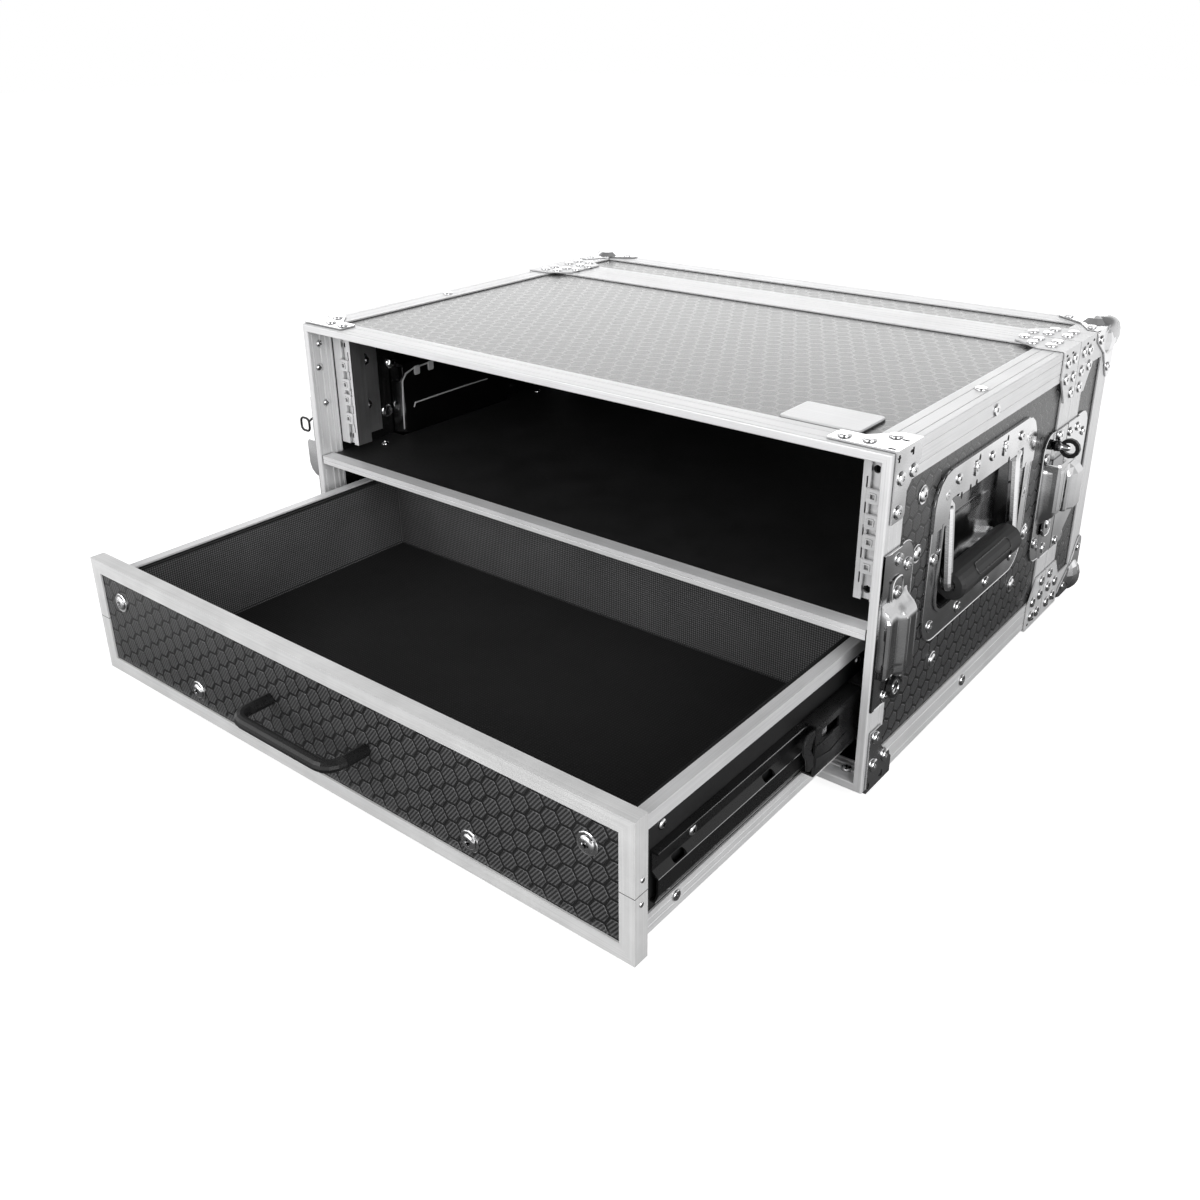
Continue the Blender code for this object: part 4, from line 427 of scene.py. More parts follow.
# What the names of the nodes with each finish start with; the first finish that fits is used.
NODE_FINISHES = {
    "laminate": ("top_panel", "bottom_panel", "left_panel", "right_panel", "drawer_front_panel", "lid_shell"),
    "aluminium_frame": ("front_frame", "rear_frame", "lid_front_frame", "lid_edge_frame"),
    "aluminium_drawer": ("drawer_front_trim",),
    "aluminium_x": ("shelf_trim",),
    "aluminium_y": ("edge_trim", "drawer_edge", "drawer_base_rail"),
    "rail": ("rack_rail",),
    "dish": ("handle_dish",),
    "zinc": ("corner_bracket", "latch_keeper"),
    "latch": ("latch_base",),
    "chrome": ("handle_bail", "ball_corner"),
    "black_board": ("shelf", "drawer_tray"),
    "black_steel": ("slide", "latch_key", "drawer_pull"),
    "rubber": ("handle_grip", "foot"),
    "lining": ("drawer_lining",),
}

for node_name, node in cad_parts.items():
    finish_name = next(key for key, starts in NODE_FINISHES.items() if node_name.startswith(starts))
    node.data.materials.clear()
    node.data.materials.append(FINISHES[finish_name])


# Piece helpers

HEAD_STEPS = 12
HEAD_FOOT = -0.4


def make_piece(name, shape, body, finish, smooth=30):
    """Turns a bmesh into a piece that rides on a body."""
    bmesh.ops.recalc_face_normals(shape, faces=shape.faces)
    mesh = bpy.data.meshes.new(name)
    shape.to_mesh(mesh)
    shape.free()
    piece = bpy.data.objects.new(name, mesh)
    bpy.context.scene.collection.objects.link(piece)
    mesh.materials.append(FINISHES[finish])
    mesh.shade_smooth()
    mesh.set_sharp_from_angle(angle=math.radians(smooth))
    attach(piece, body)
    return piece


def facing(point, normal, spin=0.0):
    """The transform that puts a fastener modelled along +Z at a point, facing along a normal."""
    turn = Vector((0, 0, 1)).rotation_difference(Vector(normal)).to_matrix().to_4x4()
    return Matrix.Translation(point) @ turn @ Matrix.Rotation(spin, 4, "Z")


def circle(radius, steps, shift=0.0):
    angles = [2 * math.pi * (index + shift) / steps for index in range(steps)]
    return [(radius * math.cos(angle), radius * math.sin(angle)) for angle in angles]


def rounded_outline(low, high, radius, steps=5):
    points = []
    corners = ((high[0], low[1], -90), (high[0], high[1], 0), (low[0], high[1], 90), (low[0], low[1], 180))
    for u, v, start in corners:
        centre_u = u - radius if u == high[0] else u + radius
        centre_v = v - radius if v == high[1] else v + radius
        for step in range(steps + 1):
            angle = math.radians(start + 90 * step / steps)
            points.append((centre_u + radius * math.cos(angle), centre_v + radius * math.sin(angle)))
    return points


def loop(shape, place, points, height):
    """Vertices at (u, v) points in millimetres, at one height along a transform's Z."""
    return [shape.verts.new(place @ (Vector((u, v, height)) * MM)) for u, v in points]


def stitch(shape, loops, closed=False):
    """Faces from each loop of vertices to the next, and from the last to the first where closed."""
    pairs = list(zip(loops, loops[1:]))
    if closed:
        pairs.append((loops[-1], loops[0]))
    for first, second in pairs:
        for index in range(len(first)):
            following = (index + 1) % len(first)
            shape.faces.new((first[index], first[following], second[following], second[index]))


def stack(shape, place, levels):
    """A closed solid through outlines at rising heights, each given as (points, height)."""
    loops = [loop(shape, place, points, height) for points, height in levels]
    stitch(shape, loops)
    shape.faces.new(loops[0])
    shape.faces.new(loops[-1])


def eased_prism(shape, outline, place, thickness, ease):
    """An outline of (u, v) points in millimetres raised along a transform's Z, with an eased upper rim."""
    middle = Vector((sum(u for u, _ in outline), sum(v for _, v in outline))) / len(outline)
    reach = max((Vector(point) - middle).length for point in outline)
    drawn = [middle + (Vector(point) - middle) * (1 - ease / reach) for point in outline]
    stack(shape, place, ((outline, 0.0), (outline, thickness - ease), (drawn, thickness)))


def turned_rings(shape, profile, place, steps):
    """A turned profile of (radius, height) from outside inwards, closed underneath; returns its last ring."""
    rings = [loop(shape, place, circle(radius, steps, -0.5), height) for radius, height in profile]
    stitch(shape, rings)
    shape.faces.new(rings[0][::-1])
    return rings[-1]


def head(shape, place, radius, height, recess="cross", rim=0.35, washer=0.0):
    """A domed head with a cross or a round recess, on an optional washer, closed underneath."""
    profile = [(radius, HEAD_FOOT)]
    base = 0.0
    if washer:
        profile = [(washer, HEAD_FOOT), (washer, 0.55), (washer - 0.45, 0.95), (radius + 0.25, 0.7)]
        base = 0.75
        profile += [(radius, base)]
    top, *dome = (0.6, (0.94, 0.7), (0.84, 0.95)) if recess == "hole" else (0.52, (0.9, 0.62), (0.72, 0.88))
    top *= radius
    level = base + height
    profile += [(radius, base + rim)]
    profile += [(radius * share, base + height * rise) for share, rise in dome]
    inner = turned_rings(shape, profile + [(top, level)], place, HEAD_STEPS)
    if recess == "none":
        shape.faces.new(inner)
        return
    if recess == "hole":
        outline = circle(top * 0.62, HEAD_STEPS, -0.5)
        deep = min(0.8, height * 0.7)
        shrink = 0.8
    else:
        arm, half = top * 0.86, top * 0.26
        outline = [(arm, -half), (arm, half), (half, half), (half, arm), (-half, arm), (-half, half)]
        outline += [(-u, -v) for u, v in outline]
        deep = min(1.1, height * 0.75)
        shrink = 0.75
    upper = loop(shape, place, outline, level)
    lower = loop(shape, place, [(u * shrink, v * shrink) for u, v in outline], level - deep)
    stitch(shape, (inner, upper, lower))
    shape.faces.new(lower)


def heads(name, places, body, radius, height, **form):
    """Many alike heads as one piece: each place is (point, normal)."""
    shape = bmesh.new()
    for index, (point, normal) in enumerate(places):
        head(shape, facing(point, normal, index * 0.9), radius, height, **form)
    make_piece(name, shape, body, "chrome")


def rivets(name, places, body, radius, height=1.4):
    """Rivets with a round hole in the head."""
    heads(name, places, body, radius, height, recess="hole")


def ring_frames(path, closed):
    """A point and two directions across the path for each point of it, turning as little as possible."""
    count = len(path)
    frames = []
    across = None
    for index, point in enumerate(path):
        before = path[(index - 1) % count] if closed or index else path[index]
        after = path[(index + 1) % count] if closed or index < count - 1 else path[index]
        along = (after - before).normalized()
        if across is None:
            helper = Vector((0, 0, 1)) if abs(along.z) < 0.9 else Vector((1, 0, 0))
            across = along.cross(helper).normalized()
        else:
            across = (across - along * across.dot(along)).normalized()
        frames.append((point, across, along.cross(across)))
    return frames


def tube(shape, path, radius, sides=6, closed=False):
    """A round wire along world points, its radius in millimetres; open ends taper in to a small cap."""
    loops = []
    ends = () if closed else (0, len(path) - 1)
    for index, (point, across, up) in enumerate(ring_frames(path, closed)):
        size = radius * MM * (0.72 if index in ends else 1.0)
        loops.append([shape.verts.new(point + (across * u + up * v) * size) for u, v in circle(1.0, sides)])
    stitch(shape, loops, closed)
    if not closed:
        shape.faces.new(loops[0])
        shape.faces.new(loops[-1])


# Fasteners on the sides

BOARD_SIDE = HALF_WIDTH - BOARD_DROP
SHEET_SIDE = BOARD_SIDE + PLATE_FACE
BRACKET_SIDE = HALF_WIDTH + PLATE_FACE

SIDE_BOLTS = ((50, 181.5), (49, 144), (53.5, 102), (92, 52.6), (227, 55), (240, 92.5))
EDGE_RIVETS = ((148, 208.5), (148, 11.5))
FRONT_BRACKET_RIVETS = ((11.2, 204), (26.5, 204.5), (11.2, 184))
REAR_BRACKET_RIVETS = ((289, 212), (276, 211), (291, 198), (291, 186), (276, 199))
LID_BRACKET_RIVETS = ((310, 212), (323, 211), (309, 198), (309, 186), (325, 199))
BRACKET_SLOTS = (
    ("front_bracket_slots", "case", (6.5, 22)),
    ("rear_bracket_slots", "case", (272, 284)),
    ("lid_bracket_slots", "rear_lid", (316, 330)),
)
SLOT_HEIGHTS = (217, 3)
LATCH_RIVETS = ((19.5, 152), (36, 143), (36.4, 76.5), (17, 62.6))
LATCH_TAB_RIVET = (18.9, 131.6)
LATCH_MIDDLE = 109
KEEPER_RIVETS = ((6, 152), (22, 152), (42, 143), (10, 62), (24, 62))

# Each latch's side, its direction from the seam, and its way up, against the one at the front right
LATCHES = {
    "front_right": (1, 1, 1), "front_left": (-1, 1, -1), "rear_right": (1, -1, -1), "rear_left": (-1, -1, -1),
}


def wall(side, x, y, z, back=1, up=1):
    """A transform on a side of the case: U along the depth, V along the height, W outwards."""
    turn = Matrix(((0, 0, side), (back, 0, 0), (0, up, 0))).to_4x4()
    return Matrix.Translation(at(side * x, y, z)) @ turn


def latch_wall(latch, x, y, z):
    """The transform at a point of one latch, given where the point is on the front right one."""
    side, back, up = LATCHES[latch]
    return wall(side, x, y if back > 0 else BODY_DEPTH - y, z if up > 0 else 2 * LATCH_MIDDLE - z, back, up)


def sheet_side(y):
    """How far out the sheet of a latch or keeper is, on the edge section or behind it."""
    return BRACKET_SIDE if y < SECTION_LEG + 1 else SHEET_SIDE


def side_places(places, depth):
    """Head places on both sides of the case, from (y, z) places."""
    return [(at(side * depth, y, z), (side, 0, 0)) for y, z in places for side in (1, -1)]


def level_places(places, level, up):
    """Head places on both halves of a level face, from (x, y) places."""
    return [(at(side * x, y, level), (0, 0, up)) for x, y in places for side in (1, -1)]


def top_and_bottom(places):
    return list(places) + [(y, HEIGHT - z) for y, z in places]


def dark_slots(name, places, body, half_width, half_height):
    """Short slots, each a dark oval of painted shade a little proud of its plate, standing for the hole."""
    shape = bmesh.new()
    outline = [(u * half_width, v * half_height) for u, v in circle(1.0, 10)]
    for place in places:
        eased_prism(shape, outline, place, 0.12, 0.04)
    make_piece(name, shape, body, "shadow")


def make_side_fasteners():
    heads("side_board_bolts", side_places(SIDE_BOLTS, BOARD_SIDE), "case", 4.5, 1.5, washer=6.2)
    rivets("side_edge_rivets", side_places(EDGE_RIVETS, HALF_WIDTH), "case", 4.2, 1.5)
    brackets = top_and_bottom(FRONT_BRACKET_RIVETS) + top_and_bottom(REAR_BRACKET_RIVETS)
    rivets("side_bracket_rivets", side_places(brackets, BRACKET_SIDE), "case", 4.3, 1.5)
    lid = top_and_bottom(LID_BRACKET_RIVETS)
    rivets("lid_bracket_rivets", side_places(lid, BRACKET_SIDE), "rear_lid", 4.3, 1.5)
    for name, body, depths in BRACKET_SLOTS:
        places = [wall(side, BRACKET_SIDE, y, z) for y in depths for z in SLOT_HEIGHTS for side in (1, -1)]
        dark_slots(name, places, body, 1.9, 0.9)


def make_latch_fasteners():
    places = []
    for latch, (side, _, _) in LATCHES.items():
        spots = [latch_wall(latch, sheet_side(y), y, z) for y, z in LATCH_RIVETS]
        spots.append(latch_wall(latch, BRACKET_SIDE + 1.0, *LATCH_TAB_RIVET))
        places += [(spot.translation, (side, 0, 0)) for spot in spots]
    rivets("latch_rivets", places, "case", 4.2, 1.5)
    places = []
    for y, z in KEEPER_RIVETS:
        places += [(at(side * sheet_side(y), BODY_DEPTH + y, z), (side, 0, 0)) for side in (1, -1)]
    rivets("keeper_rivets", places, "rear_lid", 3.6)


# Latches

KEY_CENTRE = (24.5, 66.5)
KEY_FACE = 256.9
KEY_WIRE = (
    (13.5, 77.5), (12.6, 80.0), (14.4, 81.8), (17.5, 80.6), (21, 78.2), (25.5, 76.2), (29.5, 73.4),
    (32.0, 69.5), (32.6, 65.5),
)
KEY_BAR = (-4.0, -1.5, 1.5, 4.0)
REAR_KEY = (23, 69)
REAR_PIN = ((3.7, -0.2), (3.7, 0.9), (2.9, 1.5), (2.4, 5.6), (1.5, 7.0), (0.7, 7.4))

HOOD_ACROSS = (2.0, 38.6, 31)
HOOD_DOWN = (129.0, 85.0, 34)
HOOD_LIFT = 0.2
HOOD_SPREAD = 2.2

TAB_RING = ((12.2, 122.5), (25.2, 141.5))
RIDGES = (14.5, 22.5, 31, 37.5)
RIDGE_SPAN = (116.5, 84)
RIDGE_STEPS = 13

DISH_OUTLINE = ((66.5, 71.5), (230.5, 186.5), 19.5)
LATCH_OUTLINE = ((4, 159.5), (29, 159.5), (42.5, 58.5), 13.5)

STANDING_RING = ((-264.6, 134.4), 5.2, 5.4)
STANDING_RING_DEPTH = 1.6
STANDING_STEM = (
    (-260.4, STANDING_RING_DEPTH, 136.5), (-257.6, 2.4, 139.5), (-255.6, 5, 142), (-255.4, 18, 146.5),
    (-256.5, 22, 148.5),
)
LEFT_FLAP = (
    (252.8, 122), (262.6, 122), (264.5, 119.5), (264.1, 101), (262, 95.5), (257.5, 91.8), (252.8, 90.5),
)


def make_latch_details():
    """The rings, wires and pins of the latch keys."""
    for latch in ("front_right", "front_left"):
        shape = bmesh.new()
        place = latch_wall(latch, KEY_FACE, *KEY_CENTRE)
        tube(shape, [place @ (Vector((u, v, -0.1)) * MM) for u, v in circle(4.7, 20)], 0.55, closed=True)
        for shift in (-0.9, 0.9):
            tube(shape, [place @ (Vector((u * 0.62 + shift, u * 0.9, -0.5)) * MM) for u in KEY_BAR], 0.45)
        place = latch_wall(latch, KEY_FACE + 0.9, 0, 0)
        tube(shape, [place @ (Vector((u, v, 0)) * MM) for u, v in KEY_WIRE], 0.8, 8)
        make_piece("key_ring_" + latch, shape, "key_" + latch, "chrome")
    for latch in ("rear_right", "rear_left"):
        shape = bmesh.new()
        shape.faces.new(turned_rings(shape, REAR_PIN, latch_wall(latch, KEY_FACE, *REAR_KEY), 14))
        make_piece("key_pin_" + latch, shape, "key_" + latch, "chrome")


def on_surface(node, place, height=0.0):
    """The point where a line, coming in along a transform's own W direction, meets a node."""
    way = (place.to_3x3() @ Vector((0, 0, 1))).normalized()
    start = place.translation + way * 40 * MM
    inverse = node.matrix_world.inverted()
    found, point, _, _ = node.ray_cast(inverse @ start, inverse.to_3x3() @ -way)
    return node.matrix_world @ point + way * height if found else None


def softened(rows, reach, pick):
    """Each row taken together with the rows near it, by the largest value or by the mean."""
    near = [rows[max(0, index - reach):index + reach + 1] for index in range(len(rows))]
    return [[pick(values) for values in zip(*group)] for group in near]


def mean(values):
    return sum(values) / len(values)


def transposed(rows):
    return [list(row) for row in zip(*rows)]


def make_latch_hoods():
    """The pressed shoulder of each latch housing: its steps run smoothly out of the base plate."""
    shape = bmesh.new()
    low, high, columns = HOOD_ACROSS
    top, bottom, rows = HOOD_DOWN
    across = [low + (high - low) * column / (columns - 1) for column in range(columns)]
    down = [top + (bottom - top) * row / (rows - 1) for row in range(rows)]
    reach = round(HOOD_SPREAD / (down[0] - down[1]))
    rim = [(0, column) for column in range(columns)] + [(row, columns - 1) for row in range(1, rows)]
    rim += [(rows - 1, column) for column in range(columns - 2, -1, -1)]
    rim += [(row, 0) for row in range(rows - 2, 0, -1)]
    for latch, (side, _, _) in LATCHES.items():
        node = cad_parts["latch_base_" + latch]
        spots = [[latch_wall(latch, BRACKET_SIDE, y, z) for y in across] for z in down]
        heights = [[on_surface(node, spot).x * side for spot in line] for line in spots]
        raised = softened(softened(heights, reach, max), reach, mean)
        raised = transposed(softened(transposed(raised), 1, mean))
        upper = []
        lower = []
        for row in range(rows):
            upper.append([])
            lower.append([])
            for column in range(columns):
                point = spots[row][column].translation
                floor = heights[row][column] - 0.3 * MM
                level = raised[row][column] + HOOD_LIFT * MM
                if row in (0, rows - 1) or column in (0, columns - 1):
                    level = floor + 0.05 * MM
                upper[-1].append(shape.verts.new((level * side, point.y, point.z)))
                lower[-1].append(shape.verts.new((floor * side, point.y, point.z)))
        for row in range(rows - 1):
            for column in range(columns - 1):
                for grid in (upper, lower):
                    near, far = grid[row], grid[row + 1]
                    shape.faces.new((near[column], near[column + 1], far[column + 1], far[column]))
        stitch(shape, [[grid[row][column] for row, column in rim] for grid in (upper, lower)])
    make_piece("latch_hoods", shape, "case", "latch", smooth=50)


def make_latch_ridges():
    """A raised rim round each latch's tab, and pressed ridges running down its housing."""
    shape = bmesh.new()
    outline = rounded_outline(*TAB_RING, 4.5, 3)
    start, end = RIDGE_SPAN
    heights = [start + (end - start) * step / RIDGE_STEPS for step in range(RIDGE_STEPS + 1)]
    for latch in LATCHES:
        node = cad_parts["latch_base_" + latch]
        rim = [latch_wall(latch, BRACKET_SIDE + 0.8, y, z).translation for y, z in outline]
        tube(shape, rim, 0.7, closed=True)
        for y in RIDGES:
            path = [on_surface(node, latch_wall(latch, BRACKET_SIDE, y, z), -0.05 * MM) for z in heights]
            tube(shape, [point for point in path if point is not None], 0.65)
    make_piece("latch_ridges", shape, "case", "chrome")


def make_plate_rims():
    """The bright bevelled edges of the handle frames and of the latch base plates."""
    shape = bmesh.new()
    outline = rounded_outline(*DISH_OUTLINE, 8)
    for side in (1, -1):
        tube(shape, [at(side * (SHEET_SIDE - 0.05), y, z) for y, z in outline], 0.45, closed=True)
    (start, top), (bend, _), (_, bottom), turn = LATCH_OUTLINE
    outline = [(start + (bend - start) * step / 6, top) for step in range(6)]
    for step in range(9):
        angle = math.pi / 2 * (1 - step / 8)
        outline.append((bend + turn * math.cos(angle), top - turn + turn * math.sin(angle)))
    outline += [(y, top + bottom - z) for y, z in reversed(outline)]
    for latch in LATCHES:
        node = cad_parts["latch_base_" + latch]
        path = [on_surface(node, latch_wall(latch, BRACKET_SIDE, y, z), -0.1 * MM) for y, z in outline]
        tube(shape, [point for point in path if point is not None], 0.45)
    make_piece("plate_rims", shape, "case", "chrome")


def make_left_latch_details():
    """What stands out past the left edge: the key's raised ring and the edge flap of its latch."""
    shape = bmesh.new()
    (x, z), half_width, half_height = STANDING_RING
    outline = rounded_outline((x - half_width, z - half_height), (x + half_width, z + half_height), 3.4, 4)
    tube(shape, [at(u, STANDING_RING_DEPTH, v) for u, v in outline], 0.95, 8, closed=True)
    tube(shape, [at(*point) for point in STANDING_STEM], 0.9, 8)
    make_piece("key_front_left_ring", shape, "key_front_left", "black_steel")
    shape = bmesh.new()
    turn = Matrix(((-1, 0, 0), (0, 0, -1), (0, 1, 0))).to_4x4()
    eased_prism(shape, LEFT_FLAP, Matrix.Translation(at(0, 2.9, 0)) @ turn, 1.4, 0.35)
    make_piece("latch_flap_front_left", shape, "case", "latch")


# Drawer slides and the inner side of the handle dishes

SLIDE_FACE = 239.6
SLIDE_PLATES = (
    ((-40, 62.8), (-39.6, 63.8), (-8, 63.8), (-3.4, 61.3), (-13.7, 59.6), (-25.2, 59.2), (-33.4, 59.6)),
    ((-38.6, 42), (-21.7, 38.5), (-0.4, 41.8), (-2.8, 36.9), (-13.2, 35.5), (-38.6, 35)),
    ((-38.9, 48.8), (-38.9, 50.2), (-34, 50.2), (-18.5, 50.4), (-18.5, 49.2)),
)
SLIDE_LEVER = (
    (-52.5, 60.5), (-54.2, 56.6), (-53.6, 51.9), (-49.8, 46.5), (-48.4, 38.2), (-45, 36.2), (-41.4, 38.4),
    (-41.4, 44.5), (-45.4, 50.6), (-43.4, 56.5), (-41.4, 59.5), (-41.4, 62.5), (-48, 63),
)
SLIDE_BRIGHT = ((-30.9, 51.2), (-24.6, 51.2), (-24.6, 58.2), (-30.9, 58.2))
SLIDE_EDGES = ((233.4, 62.5), (233.5, 46.9), (231.5, 31.4))
SLIDE_EDGE_RUN = (-183.9, -60, 20)

DISH_INSIDE = 235.9
DISH_WIRE = (
    (82.1, 114.6), (83.0, 140), (84.0, 157), (88.5, 162.6), (97, 165.2), (120, 166.6), (150, 167.4),
    (186, 167.6),
)
DISH_RIB = ((95, 131), (96.5, 134.8), (127, 135.4), (159, 135.8), (186, 135.6))
DISH_HOOKS = ((101, 163), (117, 163.5))


def make_slide_details():
    """Ball cage ends and the release lever at the front of each middle slide member, with bright wires of
    painted highlight along the slides' edges.
    """
    levers = bmesh.new()
    bright = bmesh.new()
    edges = bmesh.new()
    for side in (1, -1):
        for outline in SLIDE_PLATES:
            eased_prism(levers, outline, wall(side, SLIDE_FACE - 0.05, 0, 0), 0.45, 0.15)
        eased_prism(levers, SLIDE_LEVER, wall(side, SLIDE_FACE - 0.8, 0, 0), 1.2, 0.4)
        eased_prism(bright, SLIDE_BRIGHT, wall(side, SLIDE_FACE - 2.2, 0, 0), 0.8, 0.2)
        # Painted highlight: bright wires along the slide edges
        for x, z in SLIDE_EDGES:
            tube(edges, [at(side * x, y, z) for y in SLIDE_EDGE_RUN], 0.28, 4)
    make_piece("slide_levers", levers, "slide_middles", "black_plastic")
    make_piece("slide_edge_highlights", edges, "drawer", "painted_edge_highlight")
    make_piece("slide_springs", bright, "slide_middles", "zinc")


def make_dish_details():
    """Pressed edge, rib and hooks on the inner side of each handle dish."""
    shape = bmesh.new()
    hook = rounded_outline((-3.2, -4), (3.2, 4), 1.2, 2)
    for side in (1, -1):
        for path, radius in ((DISH_WIRE, 0.8), (DISH_RIB, 0.7)):
            tube(shape, [at(side * (DISH_INSIDE - 0.2), y, z) for y, z in path], radius)
        for y, z in DISH_HOOKS:
            eased_prism(shape, hook, wall(-side, -DISH_INSIDE, y, z), 1.2, 0.5)
    make_piece("dish_inner_edges", shape, "case", "aluminium_z")


# Fasteners seen inside

RAIL_NUT_HEIGHTS = (140.2, 156.1, 168.8, 184.7)
RAIL_HOLE_X = 232.8
RAIL_FRONT = 22.8
FLANGE_FACE = 243.6
BOARD_INSIDE = 247.5
STILE_FACE = 246.3
FLANGE_NUTS = ((50, 181.5), (49, 144))
BOARD_NUTS = ((83, 171.5), (215.6, 172.4), (74, 131), (221, 130), (92, 52.6), (227, 55), (240, 92.5))
NUT_WASHER = 5.6
NUT_ACROSS = 7.0
NUT_BASE = 0.9
NUT_HEIGHT = 2.6
STILE_RIVETS = ((10.3, 203), (8, 184), (11, 154), (5.5, 37), (5.5, 20))
STILE_RIBS = (3.6, 16.2, 20.6)
STILE_RIB_HEIGHTS = ((112, 212), (13, 99))
SHELF_SCREWS = ((231.2, 55.6), (231.5, 248.5))
SHELF_LEVEL = 109.7
FLOOR_SCREW = (236, 11.5)
FLOOR_LEVEL = 6.2


def front_wall(x, y, z):
    """A transform on a face turned to the front: U to the right, V upwards, W to the front."""
    turn = Matrix(((1, 0, 0), (0, 0, -1), (0, 1, 0))).to_4x4()
    return Matrix.Translation(at(x, y, z)) @ turn


def nut(shape, place):
    """A hexagonal nut with a threaded hole, standing on a round washer."""
    washer = ((NUT_WASHER, -0.2), (NUT_WASHER, 0.5), (NUT_WASHER - 0.5, NUT_BASE))
    washer += ((NUT_ACROSS * 0.52, NUT_BASE),)
    hexagon = []
    for index in range(12):
        angle = 2 * math.pi * (index - 0.5) / 12
        reach = NUT_ACROSS / 2 if index % 2 else NUT_ACROSS / math.sqrt(3)
        hexagon.append((reach * math.cos(angle), reach * math.sin(angle)))
    hole = [(u * 0.45, v * 0.45) for u, v in hexagon]
    top = NUT_BASE + NUT_HEIGHT
    loops = [turned_rings(shape, washer, place, 12)]
    for points, level in ((hexagon, NUT_BASE), (hexagon, top), (hole, top), (hole, 1.2)):
        loops.append(loop(shape, place, points, level))
    stitch(shape, loops)
    shape.faces.new(loops[-1])


def rail_nut(shape, place):
    """A captive nut plate in the rail's groove, with its threaded hole."""
    outline = rounded_outline((-4.4, -4.6), (4.4, 4.6), 0.9, 2)
    turns = [math.atan2(v, u) for u, v in outline]
    hole, collar = ([(radius * math.cos(a), radius * math.sin(a)) for a in turns] for radius in (1.9, 2.9))
    inset = [(u * 0.9, v * 0.95) for u, v in outline]
    plate = ((outline, 0.0), (outline, 1.1), (inset, 1.5))
    stack(shape, place, plate + ((collar, 1.5), (collar, 2.0), (hole, 2.0), (hole, 0.3)))


def make_inner_fasteners():
    rails = bmesh.new()
    nuts = bmesh.new()
    ribs = bmesh.new()
    for side in (1, -1):
        for z in RAIL_NUT_HEIGHTS:
            rail_nut(rails, front_wall(side * RAIL_HOLE_X, RAIL_FRONT, z))
        for places, depth in ((FLANGE_NUTS, FLANGE_FACE), (BOARD_NUTS, BOARD_INSIDE)):
            for index, (y, z) in enumerate(places):
                nut(nuts, facing(at(side * depth, y, z), (-side, 0, 0), 0.7 * index))
        for y in STILE_RIBS:
            for low, high in STILE_RIB_HEIGHTS:
                tube(ribs, [at(side * STILE_FACE, y, z) for z in (low, (low + high) / 2, high)], 0.42)
    make_piece("rail_nuts", rails, "case", "aluminium_x")
    make_piece("inside_nuts", nuts, "case", "zinc")
    make_piece("stile_ribs", ribs, "case", "aluminium_z")
    places = [(at(side * STILE_FACE, y, z), (-side, 0, 0)) for y, z in STILE_RIVETS for side in (1, -1)]
    heads("frame_inner_rivets", places, "case", 3.0, 1.5)
    places = level_places(SHELF_SCREWS, SHELF_LEVEL, 1) + level_places((FLOOR_SCREW,), FLOOR_LEVEL, 1)
    heads("shelf_screws", places, "case", 3.4, 1.5)


# Fasteners on the top and the underside

TOP_BRACKET_RIVETS = ((217, 12), (232, 13), (241, 27))
TOP_EDGE_RIVETS = ((241, 148),)
TOP_REAR_RIVETS = ((240, 289), (226, 290), (215, 291), (240, 276), (226, 277))
TOP_LID_RIVETS = ((240, 310), (226, 310), (215, 309), (240, 324), (226, 324))
FEET = ((200, 50), (200, 250))
FOOT_SCREW_LEVEL = -7.0


def make_top_fasteners():
    plate_top = HEIGHT + PLATE_FACE
    case = TOP_BRACKET_RIVETS + TOP_REAR_RIVETS
    places = level_places(case, plate_top, 1) + level_places(case, -PLATE_FACE, -1)
    places += level_places(TOP_EDGE_RIVETS, HEIGHT, 1) + level_places(TOP_EDGE_RIVETS, 0, -1)
    rivets("top_rivets", places, "case", 4.2)
    places = level_places(TOP_LID_RIVETS, plate_top, 1) + level_places(TOP_LID_RIVETS, -PLATE_FACE, -1)
    rivets("lid_top_rivets", places, "rear_lid", 4.2)
    heads("foot_screws", level_places(FEET, FOOT_SCREW_LEVEL, -1), "case", 3.6, 1.0)


# Ball corners

CORNER_RIVETS = ((7, 33), (33, 7))
DOME_INSET = 7.0
DOME_REACH = 13.0
DOME_POWER = 2.62
DOME_SEAT = Vector((1, 1, 1)) * (DOME_INSET + 1.3)
DOME_AROUND = 30
DOME_RINGS = 12


def make_corner_rivets():
    """Rivets on the three leaves of each ball corner."""
    places = []
    for side in (1, -1):
        for up in (1, -1):
            face_z = HEIGHT + PLATE_FACE if up > 0 else -PLATE_FACE
            for a, b in CORNER_RIVETS:
                z = HEIGHT - b if up > 0 else b
                places.append((at(side * BRACKET_SIDE, LID_BACK - a, z), (side, 0, 0)))
                places.append((at(side * (HALF_WIDTH - a), LID_BACK - b, face_z), (0, 0, up)))
                places.append((at(side * (HALF_WIDTH - a), LID_BACK + PLATE_FACE, z), (0, 1, 0)))
    rivets("ball_corner_rivets", places, "rear_lid", 3.6)


def dome_point(way):
    """Where a line from the dome's seat leaves its rounded form, found by halving."""
    reach, step = 0.0, 16.0
    while step > 0.001:
        point = DOME_SEAT + way * (reach + step)
        if sum(abs(value / DOME_REACH) ** DOME_POWER for value in point) < 1.0:
            reach += step
        step /= 2
    return DOME_SEAT + way * reach


